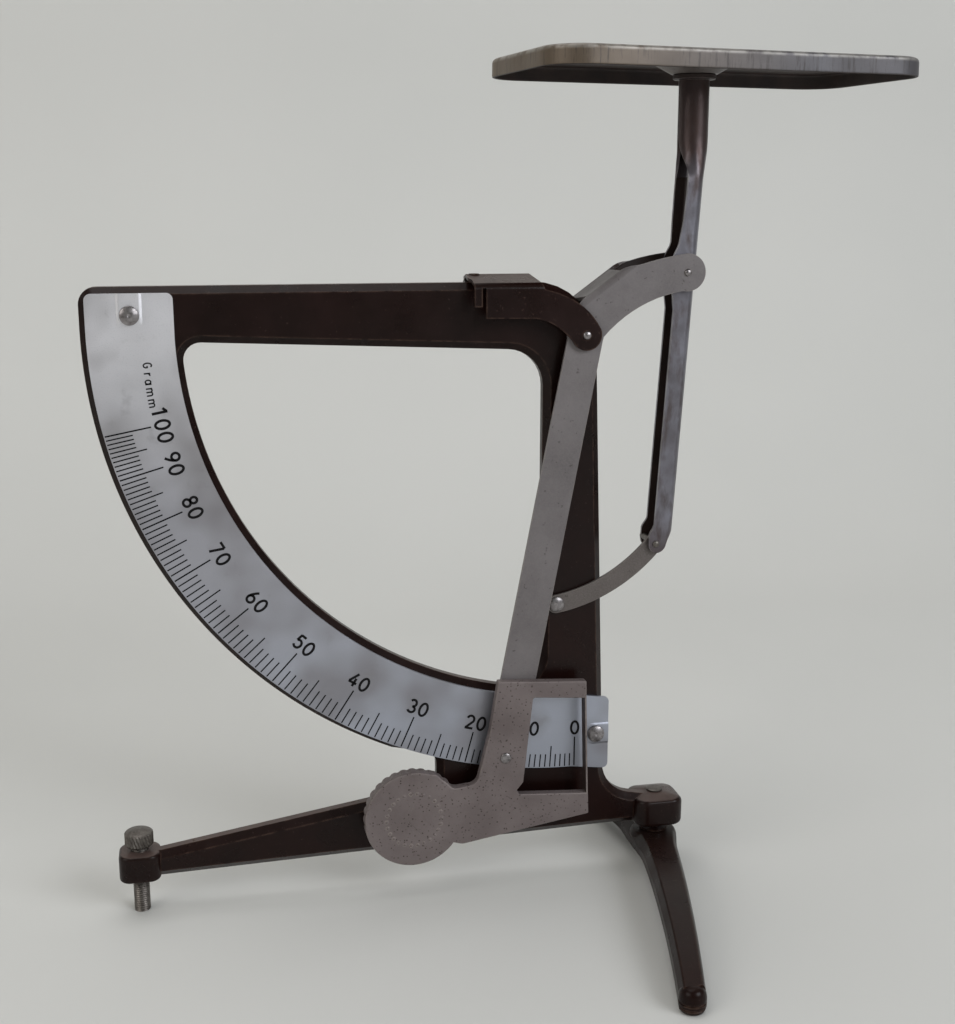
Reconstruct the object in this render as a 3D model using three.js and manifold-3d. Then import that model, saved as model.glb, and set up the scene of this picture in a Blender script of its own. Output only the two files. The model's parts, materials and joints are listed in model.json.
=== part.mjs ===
// Quadrant letter balance, 0 to 100 g. Millimetres, +Z up, the table is Z = 0.
// X runs along the frame and +Y points away from the dial side.
// Pieces are drawn with the main pivot at X = 0; addPiece then moves the origin to the levelling screw's tip.
import * as THREE from 'three';
import { mergeVertices } from 'three/addons/utils/BufferGeometryUtils.js';
import Module from 'manifold-3d';

const wasm = await Module();
wasm.setup();

// ---------------------------------------------------------------- driving dimensions

const FIT_GAP = 0.05;            // between pieces that are clamped or pressed together
const RUN_GAP = 0.15;            // radial play of a turning joint

// linkage: an exact parallelogram, so the pan stays level
const PIVOT = { x: 0, z: 140.2 };
const ARM = { x: 25.2, z: 14.4 };            // main pivot to pan pin, pan empty
const UPRIGHT = { x: -5.8, z: -67.0 };       // main pivot to guide-link rivet
const PAN_PIN = { x: PIVOT.x + ARM.x, z: PIVOT.z + ARM.z };
const LINK_RIVET = { x: PIVOT.x + UPRIGHT.x, z: PIVOT.z + UPRIGHT.z };
const LINK_PIN = { x: PAN_PIN.x + UPRIGHT.x, z: PAN_PIN.z + UPRIGHT.z };

// depth layers, as distances from the frame's mid-plane towards the dial side
const SHEET = 0.8;
const FRAME_HALF = 2.8;
const LINK_NEAR = FRAME_HALF + 0.3 + SHEET;
const STEM_HALF = LINK_NEAR + 0.25 + SHEET;
const BEAM_HALF = STEM_HALF + 0.35 + SHEET;
const BRACKET_HALF = BEAM_HALF + 0.4 + SHEET;
const PLATE_FRONT = FRAME_HALF + FIT_GAP + SHEET;
const INDEX_BACK = BEAM_HALF + FIT_GAP;
const INDEX_FRONT = INDEX_BACK + 2.4;
const DISC_BACK = PLATE_FRONT + 1.2;

// quadrant frame
const ARC = { x: -1.5, z: 143.4, rimIn: 93, plateIn: 94.4, plateOut: 113.8, rimOut: 115.2 };
const BAR_TOP = 152.6;
const BAR_BOTTOM_LEFT = 139.8;
const BAR_BOTTOM_RIGHT = 136.4;
const POST_LEFT = -9.2;
const POST_RIGHT_TOP = 3.7;
const POST_RIGHT_BOTTOM = 8;
const BASE_TOP = 21.3;
const LEG_LEFT = { x: -108, bottom: 8.4, top: 15.2 };
const LEG_RIGHT_BOTTOM = 11.9;
const WEB_LEFT = -36;
const EDGE_BREAK = 0.9;          // cast chamfer all round the frame

// feet
const SCREW = { x: -110, radius: 2, head: 3.5, headBottom: 17.1, headTop: 21.2 };
const LEFT_BOSS = { width: 10, depth: 9.8, bottom: 8.9, top: 16 };
const RIGHT_BOSS = { x: 22.6, width: 13, depth: 12.4, bottom: 11.5, top: 19.6 };
const FOOT_TIP = { x: 7.4, y: 70.9, radius: 3.1, height: 5.8 };
const FOOT_TOP = 8.8;
const FOOT_BOTTOM = 4.2;
const FOOT_HUB = 6.2;
const FOOT_RIVET = 1.5;

// index weight
const INDEX_RIVET = { x: -19.7, z: 35.4 };
const DISC = { x: -43, z: 21, radius: 12.4 };
const NECK_RIGHT = -28.5;        // the casting is as thick as the disc to the left of this
const BLADE = { thickness: 0.5, depth: 3.2 };

// pan and stem
const PAN = { length: 96.4, width: 46.6, corner: 9.5, rim: 4.4, top: 204.3, dish: 10.5, dishDepth: 2.9 };
const PAN_OFFSET = 2.7;          // the tray reaches further to the right of its stem than to the left
const PAN_TURN = 8;              // degrees anticlockwise from above: the tray was riveted on askew
const TUBE = { x: 27.5, radius: 3.25, bottom: 183 };
const STEM_LEAN = 0.062;         // the stem leans 3.5 degrees, in run over rise
const WEB_X_AT_PIN = 26.9;       // outer face of the stem's back, level with the pan pin

// ---------------------------------------------------------------- geometry helpers

function toManifold(geometry) {
  const plain = geometry.clone();
  plain.deleteAttribute('normal');
  plain.deleteAttribute('uv');
  const merged = mergeVertices(plain, 1e-4);
  return new wasm.Manifold(new wasm.Mesh({
    numProp: 3,
    vertProperties: Float32Array.from(merged.attributes.position.array),
    triVerts: Uint32Array.from(merged.index.array),
  }));
}

function toGeometry(solid) {
  const mesh = solid.getMesh();
  const geometry = new THREE.BufferGeometry();
  geometry.setAttribute('position', new THREE.BufferAttribute(Float32Array.from(mesh.vertProperties), 3));
  geometry.setIndex(new THREE.BufferAttribute(Uint32Array.from(mesh.triVerts), 1));
  geometry.computeVertexNormals();
  return geometry;
}

function unite(...solids) {
  return solids.reduce((sum, solid) => sum.add(solid));
}

// Flattens an outline's curves and drops points that nearly coincide, such as where two curves meet.
// The result runs anticlockwise, which is what lets the extrusion turn the holes the right way round.
function flattened(outline, curveSegments) {
  const points = path => path.getPoints(curveSegments)
    .filter((point, i, all) => point.distanceTo(all[(i + all.length - 1) % all.length]) > 0.01);
  const edge = points(outline);
  const shape = new THREE.Shape(THREE.ShapeUtils.isClockWise(edge) ? edge.reverse() : edge);
  shape.holes = (outline.holes ?? []).map(hole => new THREE.Path(points(hole)));
  return shape;
}

// An outline drawn in X and Z becomes a plate between two depths; near and far are Y values.
function plate(outline, near, far, curveSegments = 10, bevel = 0) {
  const geometry = new THREE.ExtrudeGeometry(flattened(outline, curveSegments), {
    depth: far - near - 2 * bevel,
    bevelEnabled: bevel > 0,
    bevelThickness: bevel,
    bevelSize: bevel,
    bevelOffset: -bevel,
    bevelSegments: 1,
  });
  geometry.translate(0, 0, bevel);
  geometry.rotateX(Math.PI / 2);
  geometry.translate(0, far, 0);
  return toManifold(geometry);
}

// A vertical prism from an outline drawn in X and Y.
function block(outline, bottom, top, bevel = 0, curveSegments = 6) {
  const geometry = new THREE.ExtrudeGeometry(flattened(outline, curveSegments), {
    depth: top - bottom - 2 * bevel,
    bevelEnabled: bevel > 0,
    bevelThickness: bevel,
    bevelSize: bevel,
    bevelOffset: -bevel,
    bevelSegments: 2,
  });
  geometry.translate(0, 0, bottom + bevel);
  return toManifold(geometry);
}

// A turned piece: profile points are [radius, height] from one end of the axis to the other.
function turned(profile, segments = 32) {
  return new THREE.LatheGeometry(profile.map(([r, h]) => new THREE.Vector2(r, h)), segments);
}

function turnedUpright(profile, x, y, segments = 32) {
  const geometry = turned(profile, segments);
  geometry.rotateX(Math.PI / 2);
  geometry.translate(x, y, 0);
  return toManifold(geometry);
}

// The profile's heights are Y values, so the first point is the end nearest the viewer.
function turnedAcross(profile, x, z, segments = 32) {
  const geometry = turned(profile, segments);
  geometry.translate(x, 0, z);
  return toManifold(geometry);
}

function rodAcross(x, z, radius, near, far, segments = 32) {
  return turnedAcross([[0, near], [radius, near], [radius, far], [0, far]], x, z, segments);
}

function rodUpright(x, y, radius, bottom, top, segments = 32) {
  return turnedUpright([[0, bottom], [radius, bottom], [radius, top], [0, top]], x, y, segments);
}

// The drill for a hole at a pivot or rivet. It reaches past both faces of every piece.
function boreAcross(at, radius, segments = 32) {
  const reach = 20;
  return rodAcross(at.x, at.z, radius, -reach, reach, segments);
}

// A pin or rivet across the frame with a domed head at each end.
function domedPin(x, z, shank, near, far, head = shank, dome = 0.35) {
  const profile = [[0, near - dome], [head * 0.7, near - dome * 0.75], [head, near]];
  if (head > shank) profile.push([shank, near]);
  profile.push([shank, far]);
  if (head > shank) profile.push([head, far]);
  profile.push([head * 0.7, far + dome * 0.75], [0, far + dome]);
  return turnedAcross(profile, x, z, 24);
}

function polygon(points) {
  return new THREE.Shape(points.map(([x, z]) => new THREE.Vector2(x, z)));
}

function roundedRectangle(x, y, width, height, corner) {
  const left = x - width / 2;
  const right = x + width / 2;
  const low = y - height / 2;
  const high = y + height / 2;
  const shape = new THREE.Shape();
  shape.moveTo(left + corner, low);
  shape.lineTo(right - corner, low);
  shape.absarc(right - corner, low + corner, corner, -Math.PI / 2, 0, false);
  shape.lineTo(right, high - corner);
  shape.absarc(right - corner, high - corner, corner, 0, Math.PI / 2, false);
  shape.lineTo(left + corner, high);
  shape.absarc(left + corner, high - corner, corner, Math.PI / 2, Math.PI, false);
  shape.lineTo(left, low + corner);
  shape.absarc(left + corner, low + corner, corner, Math.PI, 1.5 * Math.PI, false);
  return shape;
}

// A closed skin over a row of rings running towards +Y, each listed anticlockwise seen from the front.
function loft(rings) {
  const count = rings[0].length;
  const positions = rings.flat(2);
  const faces = [];
  for (let row = 0; row + 1 < rings.length; row += 1) {
    for (let i = 0; i < count; i += 1) {
      const a = row * count + i;
      const b = row * count + (i + 1) % count;
      faces.push(a, b + count, b, a, a + count, b + count);
    }
  }
  const last = (rings.length - 1) * count;
  for (let i = 1; i + 1 < count; i += 1) {
    faces.push(0, i, i + 1, last, last + i + 1, last + i);
  }
  const geometry = new THREE.BufferGeometry();
  geometry.setAttribute('position', new THREE.BufferAttribute(Float32Array.from(positions), 3));
  geometry.setIndex(faces);
  return toManifold(geometry);
}

// ---------------------------------------------------------------- quadrant frame

function frameOutline() {
  const shape = new THREE.Shape();
  const cornerRadius = 16;
  const cornerX = POST_RIGHT_TOP - cornerRadius;
  const footFillet = 9;
  const leftX = ARC.x - ARC.rimOut;
  const leftCorner = 4;
  const webFillet = 7;
  const rimEnd = Math.acos((WEB_LEFT - webFillet * 1.3 - ARC.x) / ARC.rimOut);
  const legTop = x => LEG_LEFT.top + (x - LEG_LEFT.x) * 0.157;
  shape.moveTo(leftX + leftCorner, BAR_TOP);
  shape.lineTo(cornerX, BAR_TOP);
  shape.absarc(cornerX, BAR_TOP - cornerRadius, cornerRadius, Math.PI / 2, 0, true);
  shape.lineTo(POST_RIGHT_BOTTOM, BASE_TOP + footFillet);
  shape.absarc(
    POST_RIGHT_BOTTOM + footFillet, BASE_TOP + footFillet, footFillet, Math.PI, 1.5 * Math.PI, false,
  );
  shape.lineTo(RIGHT_BOSS.x - 3, RIGHT_BOSS.top - 0.3);
  shape.lineTo(RIGHT_BOSS.x, RIGHT_BOSS.top - 0.3);
  shape.lineTo(RIGHT_BOSS.x, RIGHT_BOSS.bottom + 0.3);
  shape.lineTo(POST_RIGHT_BOTTOM, LEG_RIGHT_BOTTOM);
  shape.lineTo(LEG_LEFT.x, LEG_LEFT.bottom + 0.6);
  shape.lineTo(LEG_LEFT.x, LEG_LEFT.top);
  shape.lineTo(WEB_LEFT - webFillet, legTop(WEB_LEFT - webFillet));
  shape.quadraticCurveTo(WEB_LEFT, legTop(WEB_LEFT), WEB_LEFT, legTop(WEB_LEFT) + webFillet);
  shape.quadraticCurveTo(
    WEB_LEFT, ARC.z - ARC.rimOut * Math.sin(rimEnd) - 3,
    ARC.x + ARC.rimOut * Math.cos(rimEnd), ARC.z - ARC.rimOut * Math.sin(rimEnd),
  );
  shape.absarc(ARC.x, ARC.z, ARC.rimOut, -rimEnd, -Math.PI, true);
  shape.lineTo(leftX, BAR_TOP - leftCorner);
  shape.absarc(leftX + leftCorner, BAR_TOP - leftCorner, leftCorner, Math.PI, Math.PI / 2, true);
  return shape;
}

function frameWindow() {
  const window = new THREE.Path();
  const postFillet = 9;
  const lowFillet = 9;
  const leftFillet = 4;
  const lowZ = ARC.z - Math.sqrt(ARC.rimIn ** 2 - (POST_LEFT - lowFillet - ARC.x) ** 2);
  const startAngle = Math.atan2(lowZ - ARC.z, POST_LEFT - lowFillet - ARC.x);
  const endAngle = -Math.PI + Math.asin((ARC.z - BAR_BOTTOM_LEFT + leftFillet * 0.5) / ARC.rimIn);
  window.moveTo(ARC.x - ARC.rimIn + leftFillet, BAR_BOTTOM_LEFT);
  window.lineTo(POST_LEFT - postFillet, BAR_BOTTOM_RIGHT);
  window.absarc(POST_LEFT - postFillet, BAR_BOTTOM_RIGHT - postFillet, postFillet, Math.PI / 2, 0, true);
  window.lineTo(POST_LEFT, lowZ + lowFillet);
  window.quadraticCurveTo(POST_LEFT, lowZ, POST_LEFT - lowFillet, lowZ);
  window.absarc(ARC.x, ARC.z, ARC.rimIn, startAngle, endAngle, true);
  return window;
}

function bossShape(boss, x) {
  return roundedRectangle(x, 0, boss.width, boss.depth, 2.6);
}

function quadrantFrame() {
  const outline = frameOutline();
  outline.holes.push(frameWindow());
  const body = plate(outline, -FRAME_HALF, FRAME_HALF, 16, EDGE_BREAK);
  const leftBoss = block(bossShape(LEFT_BOSS, SCREW.x), LEFT_BOSS.bottom, LEFT_BOSS.top, 0.7);
  const rightBoss = block(bossShape(RIGHT_BOSS, RIGHT_BOSS.x), RIGHT_BOSS.bottom, RIGHT_BOSS.top, 1.2);
  const bracketHole = rodUpright(
    BRACKET_RIVET.x, 0, BRACKET_RIVET.radius + FIT_GAP, BRACKET_RIVET.bottom - 0.2, BAR_TOP + 5, 20,
  );
  return unite(body, leftBoss, rightBoss)
    .subtract(rodUpright(SCREW.x, 0, SCREW.radius + RUN_GAP, 0, BASE_TOP))
    .subtract(rodUpright(RIGHT_BOSS.x, 0, FOOT_RIVET + FIT_GAP, 0, BASE_TOP))
    .subtract(bracketHole)
    .subtract(boreAcross(PIVOT, MAIN_PIN_RADIUS + 0.6))
    .subtract(boreAcross(LINK_RIVET, LINK_RIVET_SHANK + FIT_GAP))
    .subtract(plateRivetBores());
}

// ---------------------------------------------------------------- scale plate and its rivets

const PLATE_RIVETS = [{ x: -105.6, z: 146.3 }, { x: 5.0, z: 38.1 }];
const PLATE_RIVET_SHANK = 1.1;
const PLATE_RIVET_HEAD = 2.1;

function plateRivetBores() {
  return unite(...PLATE_RIVETS.map(at => boreAcross(at, PLATE_RIVET_SHANK + FIT_GAP, 20)));
}

function scalePlate() {
  const shape = new THREE.Shape();
  const left = ARC.x - ARC.plateOut;
  const right = ARC.x - ARC.plateIn;
  const top = BAR_TOP - 1.4;
  const corner = 1.5;
  const endX = 8.4;
  const endTop = 47.2;
  const endBottom = 28.3;
  shape.moveTo(left, ARC.z);
  shape.lineTo(left, top - corner);
  shape.quadraticCurveTo(left, top, left + corner, top);
  shape.lineTo(right - corner, top);
  shape.quadraticCurveTo(right, top, right, top - corner);
  shape.lineTo(right, ARC.z);
  shape.absarc(ARC.x, ARC.z, ARC.plateIn, Math.PI, 1.5 * Math.PI, false);
  shape.lineTo(endX - corner, endTop);
  shape.lineTo(endX, endTop - corner);
  shape.lineTo(endX, endBottom + corner);
  shape.lineTo(endX - corner, endBottom);
  shape.lineTo(ARC.x, ARC.z - ARC.plateOut);
  shape.absarc(ARC.x, ARC.z, ARC.plateOut, 1.5 * Math.PI, Math.PI, true);
  return plate(shape, -PLATE_FRONT, -PLATE_FRONT + SHEET, 20).subtract(plateRivetBores());
}

function plateRivet(at) {
  const front = -PLATE_FRONT;
  const back = FRAME_HALF + FIT_GAP;
  const profile = [
    [0, front - 1.1], [PLATE_RIVET_HEAD * 0.6, front - 0.9], [PLATE_RIVET_HEAD, front - 0.1],
    [PLATE_RIVET_HEAD, front - FIT_GAP], [PLATE_RIVET_SHANK, front - FIT_GAP],
    [PLATE_RIVET_SHANK, back], [PLATE_RIVET_HEAD * 0.85, back],
    [PLATE_RIVET_HEAD * 0.6, FRAME_HALF + 0.7], [0, FRAME_HALF + 0.8],
  ];
  return turnedAcross(profile, at.x, at.z, 24);
}

// ---------------------------------------------------------------- bearing bracket

const BRACKET_RIVET = { x: -25.3, radius: 0.9, bottom: 147.5, top: 153.5 };
const BRACKET = { left: -24.5, right: -11, sideTop: 149.6, crest: 154.5 };
const TONGUE = { left: -27.8, right: -22, half: 4.3, corner: 2 };
const MAIN_PIN_RADIUS = 0.95;

function cheekOutline() {
  const shape = new THREE.Shape();
  const eye = 3.7;
  shape.moveTo(BRACKET.left, BRACKET.sideTop + 1);
  shape.lineTo(BRACKET.left, 144.4);
  shape.lineTo(-13, 144.3);
  shape.quadraticCurveTo(-7.5, 143.6, PIVOT.x - eye * 0.86, PIVOT.z - eye * 0.5);
  shape.absarc(PIVOT.x, PIVOT.z, eye, 1.167 * Math.PI, 2.1 * Math.PI, false);
  shape.quadraticCurveTo(-1.5, 149.2, BRACKET.right, BRACKET.sideTop + 1.6);
  shape.lineTo(BRACKET.right, BRACKET.sideTop + 1);
  return shape;
}

// The saddle's cross-section, drawn in Y and Z: upright sides under an elliptical arch.
function saddleSection() {
  const rise = BRACKET.crest - BRACKET.sideTop;
  const shape = new THREE.Shape();
  shape.moveTo(-BRACKET_HALF, BRACKET.sideTop);
  shape.lineTo(-BRACKET_HALF + SHEET, BRACKET.sideTop);
  shape.absellipse(0, BRACKET.sideTop, BRACKET_HALF - SHEET, rise - SHEET, Math.PI, 0, true);
  shape.lineTo(BRACKET_HALF, BRACKET.sideTop);
  shape.absellipse(0, BRACKET.sideTop, BRACKET_HALF, rise, 0, Math.PI, false);
  return shape;
}

function saddle() {
  const geometry = new THREE.ExtrudeGeometry(flattened(saddleSection(), 14), {
    depth: BRACKET.right - BRACKET.left,
    bevelEnabled: false,
  });
  geometry.rotateX(Math.PI / 2);
  geometry.rotateZ(Math.PI / 2);
  geometry.translate(BRACKET.left, 0, 0);
  return toManifold(geometry);
}

function bearingBracket() {
  const cheeks = [-1, 1].map((side) => {
    const near = side < 0 ? -BRACKET_HALF : BRACKET_HALF - SHEET;
    return plate(cheekOutline(), near, near + SHEET);
  });
  const top = BRACKET.crest - 0.8;
  const tongueMiddle = (TONGUE.left + TONGUE.right) / 2;
  const tongueOutline = roundedRectangle(
    tongueMiddle, 0, TONGUE.right - TONGUE.left, 2 * TONGUE.half, TONGUE.corner,
  );
  const tongue = block(tongueOutline, top - SHEET, top);
  const tabShape = polygon([[-27.1, 146], [-25.2, 146], [-25.2, top], [-27.1, top]]);
  const tabs = [-TONGUE.half, TONGUE.half - SHEET].map(near => plate(tabShape, near, near + SHEET));
  return unite(saddle(), ...cheeks, tongue, ...tabs)
    .subtract(rodUpright(BRACKET_RIVET.x, 0, BRACKET_RIVET.radius + FIT_GAP, 145, 160, 20))
    .subtract(boreAcross(PIVOT, MAIN_PIN_RADIUS + FIT_GAP));
}

function bracketRivet() {
  return rodUpright(BRACKET_RIVET.x, 0, BRACKET_RIVET.radius, BRACKET_RIVET.bottom, BRACKET_RIVET.top, 20);
}

function mainPivotPin() {
  return domedPin(PIVOT.x, PIVOT.z, MAIN_PIN_RADIUS, -BRACKET_HALF - 0.2, BRACKET_HALF + 0.2);
}

// ---------------------------------------------------------------- beam

const SMALL_PIN = 0.85;
const BEAM_EYE = 4.5;
const BRIDGE = { left: { x: -0.4, z: 148.5 }, right: { x: 8.8, z: 155.2 } };

// The lever part of one cheek, from the pivot eye to the pan-pin eye.
function leverOutline() {
  const shape = new THREE.Shape();
  shape.moveTo(BRIDGE.left.x, BRIDGE.left.z);
  shape.quadraticCurveTo(-4.6, 145, PIVOT.x - BEAM_EYE, PIVOT.z);
  shape.absarc(PIVOT.x, PIVOT.z, BEAM_EYE, Math.PI, 2 * Math.PI, false);
  shape.quadraticCurveTo(11, 147.5, PAN_PIN.x - 1.5, PAN_PIN.z - BEAM_EYE + 0.2);
  shape.absarc(PAN_PIN.x, PAN_PIN.z, BEAM_EYE, -0.6 * Math.PI, 0.55 * Math.PI, false);
  shape.quadraticCurveTo(16, 158.9, BRIDGE.right.x, BRIDGE.right.z);
  return shape;
}

// The pendulum arm hangs from the near cheek and narrows behind the index weight.
function armOutline() {
  const along = new THREE.Vector2(INDEX_RIVET.x - PIVOT.x, INDEX_RIVET.z - PIVOT.z).normalize();
  const across = new THREE.Vector2(-along.y, along.x);
  const at = (origin, forward, side) => [
    origin.x + along.x * forward + across.x * side,
    origin.z + along.y * forward + across.y * side,
  ];
  const half = 4.45;
  const endHalf = 3.3;
  const taperStart = -18;
  const taperEnd = -15;
  const overhang = 4;
  return polygon([
    at(PIVOT, 0, -half), at(INDEX_RIVET, taperStart, -half),
    at(INDEX_RIVET, taperEnd, -endHalf), at(INDEX_RIVET, overhang, -endHalf),
    at(INDEX_RIVET, overhang, endHalf), at(INDEX_RIVET, taperEnd, endHalf),
    at(INDEX_RIVET, taperStart, half), at(PIVOT, 0, half),
  ]);
}

function beam() {
  const near = plate(leverOutline(), -BEAM_HALF, -BEAM_HALF + SHEET);
  const arm = plate(armOutline(), -BEAM_HALF, -BEAM_HALF + SHEET);
  const far = plate(leverOutline(), BEAM_HALF - SHEET, BEAM_HALF);
  const { left, right } = BRIDGE;
  const bridge = plate(polygon([
    [left.x, left.z], [left.x + 0.5, left.z - SHEET], [right.x + 0.5, right.z - SHEET], [right.x, right.z],
  ]), -BEAM_HALF, BEAM_HALF);
  return unite(near, arm, far, bridge)
    .subtract(boreAcross(PIVOT, MAIN_PIN_RADIUS + RUN_GAP))
    .subtract(boreAcross(PAN_PIN, SMALL_PIN + FIT_GAP))
    .subtract(boreAcross(INDEX_RIVET, INDEX_RIVET_SHANK + FIT_GAP));
}

// ---------------------------------------------------------------- index weight

const INDEX_RIVET_SHANK = 0.9;

// The casting is a C, open on the right, where the reading blade closes it.
function indexOutline() {
  const shape = new THREE.Shape();
  shape.moveTo(-21.6, 55.5);
  shape.lineTo(1.0, 54.1);
  shape.lineTo(1.1, 49.6);
  shape.lineTo(-12.7, 50.7);
  shape.lineTo(-15.1, 28.5);
  shape.lineTo(-16.8, 26.4);
  shape.lineTo(-16.1, 25.3);
  shape.lineTo(1.9, 24.1);
  shape.lineTo(2.1, 18.5);
  shape.lineTo(-30.8, 13.2);
  shape.lineTo(DISC.x, DISC.z);
  shape.lineTo(DISC.x + 6.2, DISC.z + 11.2);
  shape.absarc(-31, 33.4, 5, 1.05 * Math.PI, 1.97 * Math.PI, false);
  shape.lineTo(-23.6, 42.9);
  return shape;
}

// The blade's right edge is the line that is read against the scale. It reaches back towards the dial.
function readingBlade() {
  const top = { x: 1.0, z: 52 };
  const bottom = { x: 1.9, z: 22 };
  const near = -INDEX_FRONT + FIT_GAP;
  return plate(polygon([
    [top.x - BLADE.thickness, top.z], [top.x, top.z],
    [bottom.x, bottom.z], [bottom.x - BLADE.thickness, bottom.z],
  ]), near, near + BLADE.depth);
}

function indexWeight() {
  const body = plate(indexOutline(), -INDEX_FRONT, -INDEX_BACK);
  const neckSide = polygon([[-60, 0], [NECK_RIGHT, 0], [NECK_RIGHT, 40], [-60, 40]]);
  const neck = plate(indexOutline(), -INDEX_FRONT, -DISC_BACK)
    .intersect(plate(neckSide, -INDEX_FRONT, -DISC_BACK));
  const disc = turnedAcross([
    [0, -INDEX_FRONT], [DISC.radius - 0.5, -INDEX_FRONT], [DISC.radius, -INDEX_FRONT + 0.5],
    [DISC.radius, -DISC_BACK - 0.5], [DISC.radius - 0.5, -DISC_BACK], [0, -DISC_BACK],
  ], DISC.x, DISC.z, 64);
  return unite(body, neck, disc, readingBlade())
    .subtract(boreAcross(INDEX_RIVET, INDEX_RIVET_SHANK + FIT_GAP));
}

function indexRivet() {
  const head = 1.4;
  const front = -INDEX_FRONT - FIT_GAP;
  const back = -BEAM_HALF + SHEET + FIT_GAP;
  return turnedAcross([
    [0, front - 0.5], [head * 0.6, front - 0.4], [head, front], [INDEX_RIVET_SHANK, front],
    [INDEX_RIVET_SHANK, back], [1.3, back], [1.1, back + 0.35], [0, back + 0.4],
  ], INDEX_RIVET.x, INDEX_RIVET.z, 24);
}

// ---------------------------------------------------------------- pan stem, pins and guide link

const webX = z => WEB_X_AT_PIN + (z - PAN_PIN.z) * STEM_LEAN;

// One flange of the folded stem, from the lower eye to the top of the fold.
function flangeOutline(width) {
  const eye = 2.4;
  const top = TUBE.bottom;
  const shape = new THREE.Shape();
  shape.moveTo(webX(LINK_PIN.z), LINK_PIN.z);
  shape.lineTo(webX(top), top);
  shape.lineTo(webX(top) - width, top);
  shape.lineTo(webX(PAN_PIN.z + 6) - width, PAN_PIN.z + 6);
  shape.lineTo(PAN_PIN.x - eye - 0.6, PAN_PIN.z + 2);
  shape.lineTo(PAN_PIN.x - eye - 0.6, PAN_PIN.z - 3);
  shape.lineTo(webX(PAN_PIN.z - 7) - width, PAN_PIN.z - 7);
  shape.lineTo(webX(LINK_PIN.z + 5) - width, LINK_PIN.z + 5);
  shape.lineTo(LINK_PIN.x - eye, LINK_PIN.z + 1);
  shape.absarc(LINK_PIN.x, LINK_PIN.z, eye, Math.PI, 1.9 * Math.PI, false);
  return shape;
}

function panStem() {
  const nearWidth = 4.4;
  const farWidth = 3;
  const near = plate(flangeOutline(nearWidth), -STEM_HALF, -STEM_HALF + SHEET);
  const far = plate(flangeOutline(farWidth), STEM_HALF - SHEET, STEM_HALF);
  const low = LINK_PIN.z + 5;
  const high = TUBE.bottom;
  const back = plate(polygon([
    [webX(low) - SHEET, low], [webX(low), low], [webX(high), high], [webX(high) - SHEET, high],
  ]), -STEM_HALF, STEM_HALF);
  const shoulder = plate(polygon([
    [webX(high) - nearWidth, high - 1], [webX(high), high - 1],
    [webX(high), high], [webX(high) - nearWidth, high],
  ]), -STEM_HALF, STEM_HALF);
  const tube = rodUpright(TUBE.x, 0, TUBE.radius, TUBE.bottom - 1, FLANGE.bottom - FIT_GAP, 40);
  const bore = rodUpright(TUBE.x, 0, PAN_RIVET_SHANK + FIT_GAP, TUBE.bottom + 1, 210, 32);
  return unite(near, far, back, shoulder, tube)
    .subtract(bore)
    .subtract(boreAcross(PAN_PIN, SMALL_PIN + RUN_GAP))
    .subtract(boreAcross(LINK_PIN, SMALL_PIN + FIT_GAP));
}

function panPin() {
  return domedPin(PAN_PIN.x, PAN_PIN.z, SMALL_PIN, -BEAM_HALF - 0.2, BEAM_HALF + 0.2);
}

function linkPin() {
  return domedPin(LINK_PIN.x, LINK_PIN.z, SMALL_PIN, -STEM_HALF - 0.2, STEM_HALF + 0.2);
}

// The link is a band of constant width along a shallow arc that sags between its eyes.
function guideLink() {
  const half = 2.35;
  const sag = 2.6;
  const chord = new THREE.Vector2(LINK_PIN.x - LINK_RIVET.x, LINK_PIN.z - LINK_RIVET.z);
  const span = chord.length();
  const radius = (span * span / 4 + sag * sag) / (2 * sag);
  const tilt = chord.angle();
  const up = new THREE.Vector2(-chord.y, chord.x).normalize();
  const centre = new THREE.Vector2(
    (LINK_PIN.x + LINK_RIVET.x) / 2 + up.x * (radius - sag),
    (LINK_PIN.z + LINK_RIVET.z) / 2 + up.y * (radius - sag),
  );
  const reach = Math.asin(span / 2 / radius);
  const start = tilt - Math.PI / 2 - reach;
  const end = tilt - Math.PI / 2 + reach;
  const shape = new THREE.Shape();
  shape.absarc(centre.x, centre.y, radius + half, start, end, false);
  shape.absarc(LINK_PIN.x, LINK_PIN.z, half, end, end + Math.PI, false);
  shape.absarc(centre.x, centre.y, radius - half, end, start, true);
  shape.absarc(LINK_RIVET.x, LINK_RIVET.z, half, start + Math.PI, start + 2 * Math.PI, false);
  return plate(shape, -LINK_NEAR, -LINK_NEAR + SHEET)
    .subtract(boreAcross(LINK_PIN, SMALL_PIN + RUN_GAP + 0.2, 24))
    .subtract(boreAcross(LINK_RIVET, LINK_RIVET_SHANK + RUN_GAP, 24));
}

const LINK_RIVET_SHANK = 1.2;

function linkRivet() {
  const head = 1.85;
  const front = -LINK_NEAR - 0.1;
  const back = FRAME_HALF + FIT_GAP;
  return turnedAcross([
    [0, front - 0.7], [head * 0.7, front - 0.6], [head, front - 0.2], [head, front],
    [LINK_RIVET_SHANK, front], [LINK_RIVET_SHANK, back],
    [head, back], [head * 0.6, back + 0.6], [0, back + 0.7],
  ], LINK_RIVET.x, LINK_RIVET.z, 24);
}

// ---------------------------------------------------------------- pan

const FLANGE = { bottom: 199.4, top: 200.6, radius: 5.1 };
const PAN_RIVET_SHANK = 2.3;

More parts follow.
